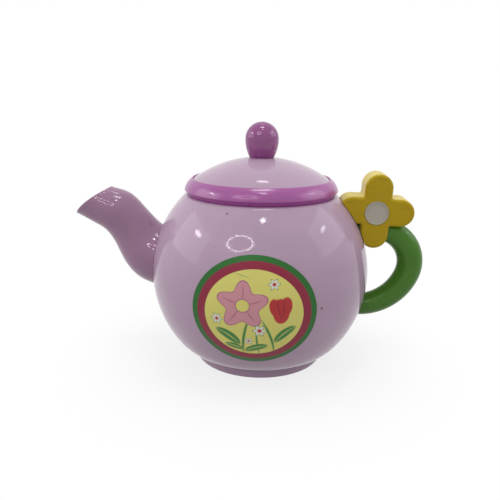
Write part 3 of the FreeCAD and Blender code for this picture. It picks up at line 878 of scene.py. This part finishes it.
def build_label():
    """Label: a thin patch of two balls. A point at angle psi round it and share rho from its middle lies at
    rho times the angle at which the ellipse of its edge is reached, so the print isn't stretched."""
    s = settings("label")
    ball = settings("pot").ball + s.lift
    out = np.array([0.0, -math.cos(s.drop), -math.sin(s.drop)])
    up = np.array([0.0, -math.sin(s.drop), math.cos(s.drop)])
    side = np.array([1.0, 0.0, 0.0])
    around = full_turn(192)
    edge = 1 / np.hypot(np.cos(around) / s.half_width, np.sin(around) / s.half_height)
    way = np.cos(around)[:, None] * side + np.sin(around)[:, None] * up

    def patch(shares, radius):
        """Rings from the label's middle to its edge on a ball."""
        tilt = shares[:, None, None] * np.arcsin(edge / radius)[None, :, None]
        return pot_centre() + radius * (np.cos(tilt) * out + np.sin(tilt) * way)

    shares = np.linspace(0, 1, 41)[1:]
    front, back = patch(shares, ball + s.thick), patch(shares, ball)[::-1]
    centre = pot_centre()
    label = surface("picture_label", np.concatenate([front, back]), centre + out * (ball + s.thick),
                    centre + out * ball)
    lay_print(label.data, out, up, side, s)
    finished(label, "picture_label", printed_film())


def lay_print(mesh, out, up, side, s):
    """Puts each corner's (share from the middle, angle) into a UV map as x and y from 0 to 1."""
    count = len(mesh.vertices)
    points = np.empty(count * 3)
    mesh.vertices.foreach_get("co", points)
    offset = points.reshape(-1, 3) - pot_centre()
    radius = np.linalg.norm(offset, axis=1)
    x, y = offset @ side, offset @ up
    psi = np.arctan2(y, x)
    tilt = np.arctan2(np.hypot(x, y), offset @ out)
    edge = 1 / np.hypot(np.cos(psi) / s.half_width, np.sin(psi) / s.half_height)
    rho = tilt / np.arcsin(edge / radius)
    flat = 0.5 + 0.5 * rho[:, None] * np.stack([np.cos(psi), np.sin(psi)], axis=1)
    corners = np.empty(len(mesh.loops), int)
    mesh.loops.foreach_get("vertex_index", corners)
    layer = mesh.uv_layers.new(name="print")
    layer.data.foreach_set("uv", flat[corners].ravel())


def linear(gamma_colour):
    """Light of a display colour: the usual curve of screens, undone."""
    shown = np.asarray(gamma_colour, float)
    light = np.where(shown <= 0.04045, shown / 12.92, ((shown + 0.055) / 1.055) ** 2.4)
    return (*light.tolist(), 1.0)


def shade(tone, share):
    """The tone made darker or lighter by a share."""
    return (*(min(1.0, part * share) for part in tone[:3]), 1.0)


class Network:
    """The nodes of a material or of the sky, with short ways to add and join them."""

    def __init__(self, block, place):
        block.use_nodes = True
        self.nodes, self.links = block.node_tree.nodes, block.node_tree.links
        self.nodes.clear()
        self.place = self.nodes.new("ShaderNodeTexCoord").outputs[place]

    def put(self, socket, value):
        """Sets a socket, or joins another one to it."""
        if isinstance(value, bpy.types.NodeSocket):
            self.links.new(value, socket)
        else:
            socket.default_value = value

    def node(self, kind, inputs, output=0, **settings):
        """Adds a node with its inputs and settings, and gives one of its outputs."""
        made = self.nodes.new(kind)
        for name, value in settings.items():
            setattr(made, name, value)
        for key, value in inputs.items():
            self.put(made.inputs[key], value)
        return None if output is None else made.outputs[output]

    def math(self, operation, a, b=0.0):
        """One step of reckoning with two numbers."""
        return self.node("ShaderNodeMath", {0: a, 1: b}, operation=operation)

    def hypot(self, x, y):
        """Root of the sum of two squares."""
        return self.math("SQRT", self.math("ADD", self.math("MULTIPLY", x, x), self.math("MULTIPLY", y, y)))

    def mix(self, share, a, b):
        """One tone passing into another by a share."""
        return self.node("ShaderNodeMix", {0: share, 6: a, 7: b}, output=2, data_type="RGBA")

    def noise(self, scale, detail=2.0, rough=0.5, vector=None):
        """Clouds with as many to the metre as the scale says, from 0 to 1."""
        inputs = {"Vector": vector or self.place, "Scale": scale, "Detail": detail, "Roughness": rough}
        return self.node("ShaderNodeTexNoise", inputs)

    def stretched(self, scale, turn=(0.0, 0.0, 0.0)):
        """The place, turned and stretched differently along each axis."""
        return self.node("ShaderNodeMapping", {"Vector": self.place, "Scale": scale, "Rotation": turn})

    def facing(self, way):
        """How far the place lies along a direction."""
        inputs = {0: self.place, 1: way}
        return self.node("ShaderNodeVectorMath", inputs, output="Value", operation="DOT_PRODUCT")

    def gap(self, point):
        """How far the place lies from a point."""
        inputs = {0: self.place, 1: point}
        return self.node("ShaderNodeVectorMath", inputs, output="Value", operation="DISTANCE")

    def along(self, axis):
        """One coordinate of the place."""
        return self.node("ShaderNodeSeparateXYZ", {"Vector": self.place}, output=axis)

    def seen(self):
        """1 for what the camera sees, by itself or in a gloss or through glass."""
        path = self.nodes.new("ShaderNodeLightPath")
        seen = path.outputs["Is Camera Ray"]
        for name in ("Is Glossy Ray", "Is Transmission Ray"):
            seen = self.math("MAXIMUM", seen, path.outputs[name])
        return seen

    def ramp(self, value, low, high, start=0.0, end=1.0):
        """Smooth step: start below low, end above high."""
        inputs = {"Value": value, "From Min": low, "From Max": high, "To Min": start, "To Max": end}
        return self.node("ShaderNodeMapRange", inputs, interpolation_type="SMOOTHSTEP")

    def near(self, point, radius, soft):
        """1 close to a point, 0 away from it."""
        return self.ramp(self.gap(point), radius, radius + soft, 1.0, 0.0)


class Finish(Network):
    """A material under construction round one shader."""

    def __init__(self, name):
        self.material = bpy.data.materials.new(name)
        super().__init__(self.material, "Object")
        self.shader = self.nodes.new("ShaderNodeBsdfPrincipled")
        self.output = self.nodes.new("ShaderNodeOutputMaterial")
        self.links.new(self.shader.outputs["BSDF"], self.output.inputs["Surface"])

    def give(self, name, value):
        """Sets an input of the shader, or joins a node to it."""
        self.put(self.shader.inputs[name], value)

    def bump(self, layers):
        """Heights in metres, laid over each other as one normal."""
        normal = None
        for height, distance in layers:
            inputs = {"Height": height, "Distance": distance, "Strength": 1.0}
            if normal:
                inputs["Normal"] = normal
            normal = self.node("ShaderNodeBump", inputs)
        self.give("Normal", normal)


def moulded(name, base, rough, cloud=0.05, grain=0.0003, gloss=0.3):
    """Moulded plastic: a cloudy tone, faint flow lines, rubbed patches, hair scratches and a fine grain.
    Cloud is how far the tone strays from the base, and grain is the depth of the grain in millimetres."""
    finish = Finish(name)
    tone = linear(base)
    clouds = finish.noise(24.0, detail=4.0, rough=0.55)
    drawn = finish.stretched((1.0, 1.0, 5.0), (0.0, 0.5, 0.3))
    flow = finish.noise(9.0, detail=3.0, rough=0.6, vector=drawn)
    blotches = finish.math("ADD", finish.math("MULTIPLY", clouds, 0.6), finish.math("MULTIPLY", flow, 0.4))
    share = finish.ramp(blotches, 0.35, 0.65)
    finish.tone = finish.mix(share, shade(tone, 1 - cloud), shade(tone, 1 + cloud))
    lines = finish.stretched((90.0, 1400.0, 260.0), (0.4, 0.7, 0.2))
    hairs = finish.ramp(finish.noise(1.0, rough=0.4, vector=lines), 0.70, 0.76, 0.0, 0.05)
    rubbed = finish.ramp(finish.noise(46.0, detail=5.0, rough=0.6), 0.35, 0.75, rough * 0.85, rough * 1.25)
    finish.give("Roughness", finish.math("ADD", rubbed, hairs))
    finish.give("IOR", 1.5)
    finish.give("Specular IOR Level", gloss)
    finish.bump([
        (finish.noise(40.0, rough=0.4), 0.05 * MM),
        (finish.noise(2600.0, detail=3.0, rough=0.6), grain * MM),
    ])
    return finish


def closed(finish, tone=None):
    """The material, with its own tone or the one given."""
    finish.give("Base Color", tone or finish.tone)
    return finish.material


def spout_plastic_with_painted_shade():
    """The spout's plastic: glossy, and darker than the pot's, which is painted shade for the spout."""
    return closed(moulded("mauve_with_painted_shade", settings("colours").shaded_mauve, 0.06, cloud=0.06, gloss=0.4))


def mauve_plastic():
    """The pot's plastic, made once: with its two specks of dirt and a little fine dust."""
    known = bpy.data.materials.get("glossy_mauve")
    if known:
        return known
    colours = settings("colours")
    finish = moulded("glossy_mauve", colours.mauve, 0.07)
    dirt = linear(colours.dirt)
    centre = Vector(pot_centre())
    tone = finish.tone
    for offset, size in (((31.2, -48.8, -2.8), 0.4), ((-13.8, -40.6, 39.0), 0.3)):
        speck = finish.near(centre + Vector(offset) * MM, size * MM, 0.5 * MM)
        tone = finish.mix(finish.math("MULTIPLY", speck, 0.75), tone, dirt)
    dust = finish.ramp(finish.noise(520.0), 0.735, 0.775, 0.0, 0.35)
    tone = finish.mix(dust, tone, dirt)
    return closed(finish, tone)


def purple_plastic():
    """The ring's plastic, with the faint upright line that its mould left in front."""
    purple = settings("colours").purple
    finish = moulded("satin_purple", purple, 0.2, cloud=0.06, gloss=0.7)
    line = AXIS - 3.4 * MM
    aside = finish.math("ABSOLUTE", finish.math("SUBTRACT", finish.along("X"), line))
    front = finish.ramp(finish.along("Y"), -1.0 * MM, 0.0, 1.0, 0.0)
    mark = finish.math("MULTIPLY", finish.ramp(aside, 0.1 * MM, 0.35 * MM, 0.3, 0.0), front)
    return closed(finish, finish.mix(mark, finish.tone, linear([0.6 * part for part in purple])))


def plum_plastic():
    """The knob's plastic."""
    return closed(moulded("glossy_plum", settings("colours").plum, 0.07, gloss=0.6))


def green_plastic():
    """The handle's plastic, with a coarser grain."""
    green = settings("colours").green
    return closed(moulded("satin_green", green, 0.16, cloud=0.08, grain=0.002, gloss=0.25))


def yellow_plastic():
    """The flower's plastic, made once: less glossy, pale at the sides, darker on its faces as painted shade,
    and streaked.
    The faces lie at the two ends of its thickness."""
    known = bpy.data.materials.get("worn_yellow_painted_shade")
    if known:
        return known
    colours, sizes = settings("colours"), settings("flower")
    finish = moulded("worn_yellow_painted_shade", colours.yellow, 0.34, cloud=0.07, grain=0.003, gloss=0.2)
    depth = finish.math("ABSOLUTE", finish.along("Y"))
    # Painted shade: the darker yellow on the faces stands in for the shade that falls on them, while the
    # sides keep the plain yellow.
    face = finish.ramp(depth, sizes.thick / 2 - sizes.edge, sizes.thick / 2 - 0.25 * sizes.edge)
    tone = finish.mix(face, finish.tone, linear(colours.face_yellow_painted_shade))
    lines = finish.stretched((40.0, 220.0, 520.0), (0.0, 0.35, 0.0))
    worn = finish.ramp(finish.noise(1.0, detail=4.0, rough=0.6, vector=lines), 0.56, 0.72, 0.0, 0.22)
    return closed(finish, finish.mix(worn, tone, linear(colours.dirt)))


def grey_plastic():
    """The matt plastic of the flower's eye."""
    grey = settings("colours").grey
    return closed(moulded("matt_grey", grey, 0.38, cloud=0.05, grain=0.004, gloss=0.2))


def bright_steel():
    """Turned steel of the screw: fine rings round its axis in the roughness."""
    finish = Finish("turned_steel")
    finish.give("Metallic", 1.0)
    finish.give("Base Color", linear(settings("colours").steel))
    axis = (AXIS, 0.0, 0.0)
    offset = finish.node("ShaderNodeVectorMath", {0: finish.place, 1: axis}, operation="SUBTRACT")
    rings = finish.node("ShaderNodeTexWave", {"Vector": offset, "Scale": 900.0, "Distortion": 0.6},
                        output="Fac", wave_type="RINGS", rings_direction="Z")
    finish.give("Roughness", finish.ramp(rings, 0.0, 1.0, 0.28, 0.42))
    finish.bump([(rings, 0.01 * MM)])
    return finish.material


class Drawing:
    """Shapes on the label, in units of the printed field's radius. Each is a mask: 1 inside, 0 outside."""

    def __init__(self, finish, field_share):
        self.finish = finish
        flat = finish.node("ShaderNodeUVMap", {}, uv_map="print")
        parts = (finish.node("ShaderNodeSeparateXYZ", {0: flat}, output=axis) for axis in ("X", "Y"))
        self.x, self.y = (
            finish.math("DIVIDE", finish.math("SUBTRACT", part, 0.5), 0.5 * field_share) for part in parts)
        self.soft = 0.012

    def inside(self, distance, edge):
        """1 up to the edge and 0 beyond it, with a soft step between them."""
        return self.finish.ramp(distance, edge - self.soft, edge + self.soft, 1.0, 0.0)

    def moved(self, x, y, deg):
        """The coordinates about a point, turned by an angle."""
        c, s = math.cos(math.radians(deg)), math.sin(math.radians(deg))
        step = self.finish.math
        dx, dy = step("SUBTRACT", self.x, x), step("SUBTRACT", self.y, y)
        return (step("ADD", step("MULTIPLY", dx, c), step("MULTIPLY", dy, s)),
                step("SUBTRACT", step("MULTIPLY", dy, c), step("MULTIPLY", dx, s)))

    def disc(self, x, y, radius):
        """Round spot."""
        return self.inside(self.finish.hypot(*self.moved(x, y, 0)), radius)

    def oval(self, x, y, wide, tall, deg=0.0, bow=0.0):
        """Ellipse whose middle line bows: its cross coordinate is shifted by the square of the long one."""
        along, cross = self.moved(x, y, deg)
        step = self.finish.math
        cross = step("ADD", cross, step("MULTIPLY", step("MULTIPLY", along, along), bow / wide))
        reach = self.finish.hypot(step("DIVIDE", along, wide), step("DIVIDE", cross, tall))
        return self.finish.ramp(reach, 1 - self.soft / tall, 1 + self.soft / tall, 1.0, 0.0)

    def petals(self, x, y, radius, count, dent, deg=0.0):
        """Blossom: a disc whose edge swings in and out with the cosine of the angle times the petals."""
        along, cross = self.moved(x, y, deg)
        step = self.finish.math
        swing = step("COSINE", step("MULTIPLY", step("ARCTAN2", cross, along), float(count)))
        swell = step("ADD", step("MULTIPLY", swing, dent / 2), 1 - dent / 2)
        return self.inside(step("DIVIDE", self.finish.hypot(along, cross), swell), radius)

    def over(self, ground, mask, tone):
        """The ground, with a tone laid over it where the mask is 1."""
        return self.finish.mix(mask, ground, tone)

    def either(self, *masks):
        """1 where any of the masks is."""
        whole = masks[0]
        for mask in masks[1:]:
            whole = self.finish.math("MAXIMUM", whole, mask)
        return whole


def printed_film():
    """Label: two rings round a yellow field with a posy of a large blossom, a tulip, leaves and daisies.
    The rows hold places and sizes in units of the field's radius, angles in degrees, and bows."""
    colours = settings("colours")
    finish = Finish("printed_label")
    ring, border, field, blossom, outline, tulip, leaf, white = (
        linear(getattr(colours, name))
        for name in ("ring", "border", "field", "blossom", "outline", "tulip", "leaf", "white"))
    field_share, border_share = 0.772, 0.906
    art = Drawing(finish, field_share)
    clouds = finish.ramp(finish.noise(60.0, detail=3.0), 0.3, 0.7)
    tone = finish.mix(clouds, shade(field, 0.96), field)
    stems = (
        (-0.20, -0.50, 0.46, 0.028, 82.0, 0.10),
        (0.36, -0.50, 0.44, 0.026, 108.0, -0.12),
        (0.08, -0.66, 0.30, 0.020, 95.0, 0.05),
    )
    tone = art.over(tone, art.either(*(art.oval(*stem) for stem in stems)), leaf)
    leaves = (
        (-0.50, -0.50, 0.30, 0.105, 142.0, -0.12),
        (0.62, -0.42, 0.27, 0.095, 44.0, 0.12),
        (0.05, -0.80, 0.26, 0.085, 20.0, 0.10),
        (-0.40, -0.78, 0.20, 0.070, 160.0, -0.08),
    )
    for x, y, wide, tall, deg, bow in leaves:
        tone = art.over(tone, art.oval(x, y, wide, tall, deg, bow), leaf)
        tone = art.over(tone, art.oval(x, y, wide * 0.72, 0.010, deg, bow), field)
    x, y, count, dent, first = -0.22, 0.22, 5, 0.36, 18.0
    for radius, dye in ((0.545, outline), (0.518, blossom)):
        tone = art.over(tone, art.petals(x, y, radius, count, dent, first), dye)
    vein_reach = 0.27
    for petal in range(count):
        deg = first + 360.0 / count * petal
        turn = math.radians(deg)
        vein = art.oval(x + vein_reach * math.cos(turn), y + vein_reach * math.sin(turn), 0.13, 0.012, deg)
        tone = art.over(tone, vein, outline)
    for radius, dye in ((0.150, outline), (0.130, field)):
        tone = art.over(tone, art.disc(x, y, radius), dye)
    cup = (
        (0.47, 0.13, 0.25, 0.135, 118.0, 0.10),
        (0.62, 0.15, 0.25, 0.135, 68.0, -0.10),
        (0.545, 0.10, 0.27, 0.17, 92.0),
    )
    tone = art.over(tone, art.either(*(art.oval(*petal) for petal in cup)), tulip)
    for x, deg, bow in ((0.49, 100.0, 0.10), (0.60, 84.0, -0.10)):
        tone = art.over(tone, art.oval(x, 0.16, 0.17, 0.012, deg, bow), border)
    daisies = ((0.13, -0.34, 0.135), (0.42, 0.68, 0.115), (-0.74, -0.12, 0.110), (-0.10, -0.62, 0.085))
    for x, y, size in daisies:
        for radius, dye in ((size * 1.14, leaf), (size, white)):
            tone = art.over(tone, art.petals(x, y, radius, 6, 0.44), dye)
        tone = art.over(tone, art.disc(x, y, size * 0.33), tulip)
    scratch = art.oval(-0.27, 0.865, 0.12, 0.008, -14.0)
    tone = art.over(tone, finish.math("MULTIPLY", scratch, 0.6), leaf)
    rim, soft = finish.hypot(art.x, art.y), 0.006
    for edge, dye in ((1.0, border), (border_share / field_share, ring)):
        tone = finish.mix(finish.ramp(rim, edge - soft, edge + soft), tone, dye)
    finish.give("Base Color", tone)
    finish.give("Roughness", finish.ramp(finish.noise(70.0, detail=5.0, rough=0.6), 0.35, 0.75, 0.34, 0.46))
    finish.give("IOR", 1.45)
    finish.bump([(finish.noise(160.0, detail=3.0), 0.02 * MM), (finish.noise(3200.0), 0.003 * MM)])
    return finish.material


def place_camera(s):
    """Camera of the photograph: it looks at the ball's centre from its distance and height, then is turned
    to its right, upwards and about its own line of sight."""
    back = np.array([0.0, -math.cos(s.elevation), math.sin(s.elevation)])
    ahead, right = -back, np.array([1.0, 0.0, 0.0])
    up = np.cross(right, ahead)

    def turned_to(a, b, by):
        """Two square directions, turned in their own plane."""
        return a * math.cos(by) + b * math.sin(by), b * math.cos(by) - a * math.sin(by)

    ahead, right = turned_to(ahead, right, s.pan)
    ahead, up = turned_to(ahead, up, s.tilt)
    right, up = turned_to(right, up, s.roll)
    around = np.array(Matrix.Rotation(s.around, 3, "Z"))
    columns = [around @ axis for axis in (right, up, -ahead)]
    place = pot_centre() + around @ back * s.distance
    camera = placed("camera", bpy.data.cameras.new("camera"))
    camera.data.lens = s.lens
    camera.data.sensor_width = 36.0
    camera.data.clip_start = 0.01
    camera.matrix_world = Matrix.Translation(place) @ Matrix(np.array(columns).T.tolist()).to_4x4()
    bpy.context.scene.camera = camera


def toward(azimuth, elevation):
    """Direction from the pot. Azimuth 0 is the side of the label, 90 that of the handle."""
    a, e = math.radians(azimuth), math.radians(elevation)
    return Vector((math.sin(a) * math.cos(e), -math.cos(a) * math.cos(e), math.sin(e)))


def softbox(name, azimuth, elevation, wide, tall, watts):
    """Rectangular lamp that faces the pot, 0.9 metres from it."""
    data = bpy.data.lights.new(name, "AREA")
    data.shape = "RECTANGLE"
    data.size, data.size_y = wide, tall
    data.energy = watts
    way = toward(azimuth, elevation)
    lamp = placed(name, data)
    lamp.location = Vector(pot_centre()) + way * 0.9
    lamp.rotation_euler = way.to_track_quat("Z", "Y").to_euler()
    return lamp


def lamp_image(net, azimuth, elevation, wide, tall, turn, level, band=None):
    """A lamp as a gloss mirrors it: an oval in the sky, or a band along the oval's edge. A direction's two
    slopes against the lamp's own, each divided by the oval's half size, give its share from the middle."""
    way = toward(azimuth, elevation)
    side = way.cross((0.0, 0.0, 1.0)).normalized()
    side.rotate(Matrix.Rotation(math.radians(turn), 3, way))
    ahead = net.facing(way)
    reach = net.hypot(*(
        net.math("DIVIDE", net.math("DIVIDE", net.facing(axis), ahead), half)
        for axis, half in ((side, wide), (way.cross(side), tall))))
    if band:
        off = net.math("ABSOLUTE", net.math("SUBTRACT", reach, 1.0))
        image = net.ramp(off, 0.4 * band, band, level, 0.0)
    else:
        image = net.ramp(reach, 0.5, 1.0, level, 0.0)
    return net.math("MULTIPLY", image, net.math("GREATER_THAN", ahead, 0.0))


def light_sky(s):
    """Even pale light from all round, shown as plain white with the lamps in it."""
    world = bpy.data.worlds.new("studio")
    bpy.context.scene.world = world
    net = Network(world, "Generated")
    level = s.sky
    swells = (
        ((0, 0, 1), 0.0, s.above),
        ((0, 1, 0), -0.3, s.behind),
        ((-1, 0, 0), -0.8, s.beside),
    )
    for way, start, more in swells:
        level = net.math("ADD", level, net.ramp(net.facing(way), start, 1.0, 0.0, more))
    lit = net.node("ShaderNodeBackground", {"Color": (1.0, 0.99, 0.985, 1.0), "Strength": level})
    # Azimuth and elevation in degrees, half width and half height as slopes, turn, brightness, band.
    images = (
        (-23.7, 40.5, 0.225, 0.135, 11.7, s.halo, 0.10),
        (-82.6, 31.0, 0.115, 0.045, 0.0, s.bulb, None),
        (7.9, 67.1, 0.060, 0.060, 0.0, 2.0 * s.bulb, None),
        (94.2, 34.1, 0.110, 0.040, 0.0, 0.6 * s.bulb, None),
        (0.0, 111.0, 0.090, 0.035, 0.0, 0.7 * s.bulb, None),
    )
    glow = 1.0
    for image in images:
        glow = net.math("ADD", glow, lamp_image(net, *image))
    shown = net.node("ShaderNodeBackground", {"Color": (1.0, 1.0, 1.0, 1.0), "Strength": glow})
    sky = net.node("ShaderNodeMixShader", {0: net.seen(), 1: lit, 2: shown})
    net.node("ShaderNodeOutputWorld", {"Surface": sky}, output=None)


def lay_table(s):
    """Pale table top that keeps the pot's shadow near it and passes into plain white further out."""
    reach = 3.0
    mesh = bpy.data.meshes.new("table")
    mesh.from_pydata([(-reach, -reach, 0), (reach, -reach, 0), (reach, reach, 0), (-reach, reach, 0)], [],
                     [(0, 1, 2, 3)])
    table = placed("table", mesh)
    finish = Finish("table_top")
    tone = linear(s.floor)
    pale = finish.mix(finish.noise(90.0, detail=4.0, rough=0.6), shade(tone, 0.985), tone)
    seen = finish.seen()
    finish.give("Base Color", finish.mix(seen, linear(s.bounce), pale))
    finish.give("Roughness", 0.7)
    white = finish.node("ShaderNodeEmission", {"Strength": 1.0})
    shadow_from, shadow_to, least_white = 0.05, 0.12, 0.78
    whiter = finish.ramp(finish.gap((AXIS, 0.0, 0.0)), shadow_from, shadow_to, least_white, 1.0)
    share = finish.math("MULTIPLY", whiter, seen)
    mixed = finish.node("ShaderNodeMixShader", {0: share, 1: finish.shader.outputs[0], 2: white})
    finish.put(finish.output.inputs["Surface"], mixed)
    table.data.materials.append(finish.material)


def set_stage():
    """Camera, sky, table and four soft lamps."""
    s = settings("studio")
    place_camera(s)
    light_sky(s)
    lay_table(s)
    softbox("window_left", -86.0, 24.0, 0.70, 0.45, s.left)
    softbox("window_right", 93.0, 31.0, 0.65, 0.45, s.right)
    softbox("overhead", 20.0, 86.0, 0.26, 0.14, s.key)
    softbox("front", -23.7, 40.5, 0.40, 0.24, s.front).visible_glossy = False
    bpy.context.scene.view_settings.view_transform = "Standard"


def screw_finish():
    """The screw keeps its own solid and gets the finish of steel."""
    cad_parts["knob_screw"].material_slots[0].material = bright_steel()


class TEAPOT_OT_pot(bpy.types.Operator):
    """Build the ball-shaped pot"""
    bl_idname = "teapot.pot"
    bl_label = "Pot"

    def execute(self, context):
        build_pot()
        return {"FINISHED"}


class TEAPOT_OT_spout(bpy.types.Operator):
    """Build the hollow curved spout"""
    bl_idname = "teapot.spout"
    bl_label = "Spout"

    def execute(self, context):
        build_spout()
        return {"FINISHED"}


class TEAPOT_OT_handle(bpy.types.Operator):
    """Build the ring handle"""
    bl_idname = "teapot.handle"
    bl_label = "Handle"

    def execute(self, context):
        build_handle()
        return {"FINISHED"}


class TEAPOT_OT_flower(bpy.types.Operator):
    """Build both halves of the flower and its eye"""
    bl_idname = "teapot.flower"
    bl_label = "Flower"

    def execute(self, context):
        build_flower_half(True)
        build_flower_half(False)
        build_eye()
        return {"FINISHED"}


class TEAPOT_OT_lid(bpy.types.Operator):
    """Build the lid's ring, dome and knob, and finish its screw"""
    bl_idname = "teapot.lid"
    bl_label = "Lid"

    def execute(self, context):
        build_rim()
        build_dome()
        build_knob()
        screw_finish()
        return {"FINISHED"}


class TEAPOT_OT_label(bpy.types.Operator):
    """Build the printed label"""
    bl_idname = "teapot.label"
    bl_label = "Label"

    def execute(self, context):
        build_label()
        return {"FINISHED"}


class TEAPOT_OT_stage(bpy.types.Operator):
    """Set up the table, the lamps and the camera"""
    bl_idname = "teapot.stage"
    bl_label = "Studio"

    def execute(self, context):
        set_stage()
        return {"FINISHED"}


GROUPS = (
    ("teapot_pot", PotSizes),
    ("teapot_spout", SpoutSizes),
    ("teapot_handle", HandleSizes),
    ("teapot_flower", FlowerSizes),
    ("teapot_lid", LidSizes),
    ("teapot_label", LabelSizes),
    ("teapot_colours", FinishColours),
    ("teapot_studio", StudioSettings),
)
OPERATORS = (
    TEAPOT_OT_pot, TEAPOT_OT_spout, TEAPOT_OT_handle, TEAPOT_OT_flower, TEAPOT_OT_lid, TEAPOT_OT_label,
    TEAPOT_OT_stage,
)


class TEAPOT_PT_panel(bpy.types.Panel):
    """Sizes, colours and building steps of the toy teapot"""
    bl_idname = "TEAPOT_PT_panel"
    bl_label = "Toy teapot"
    bl_space_type = "VIEW_3D"
    bl_region_type = "UI"
    bl_category = "Teapot"

    def draw(self, context):
        for kind in OPERATORS:
            self.layout.operator(kind.bl_idname)
        for group, kind in GROUPS:
            box = self.layout.box()
            box.label(text=kind.__doc__)
            for name in kind.__annotations__:
                box.prop(getattr(context.scene, group), name)


def register():
    for group, kind in GROUPS:
        bpy.utils.register_class(kind)
        setattr(bpy.types.Scene, group, bpy.props.PointerProperty(type=kind))
    for kind in (*OPERATORS, TEAPOT_PT_panel):
        bpy.utils.register_class(kind)


def unregister():
    for kind in reversed((*OPERATORS, TEAPOT_PT_panel)):
        bpy.utils.unregister_class(kind)
    for group, kind in reversed(GROUPS):
        delattr(bpy.types.Scene, group)
        bpy.utils.unregister_class(kind)


def main():
    """Builds everything in order."""
    register()
    bpy.ops.teapot.pot()
    bpy.ops.teapot.spout()
    bpy.ops.teapot.handle()
    bpy.ops.teapot.flower()
    bpy.ops.teapot.lid()
    bpy.ops.teapot.label()
    bpy.ops.teapot.stage()


if __name__ == "__main__":
    main()
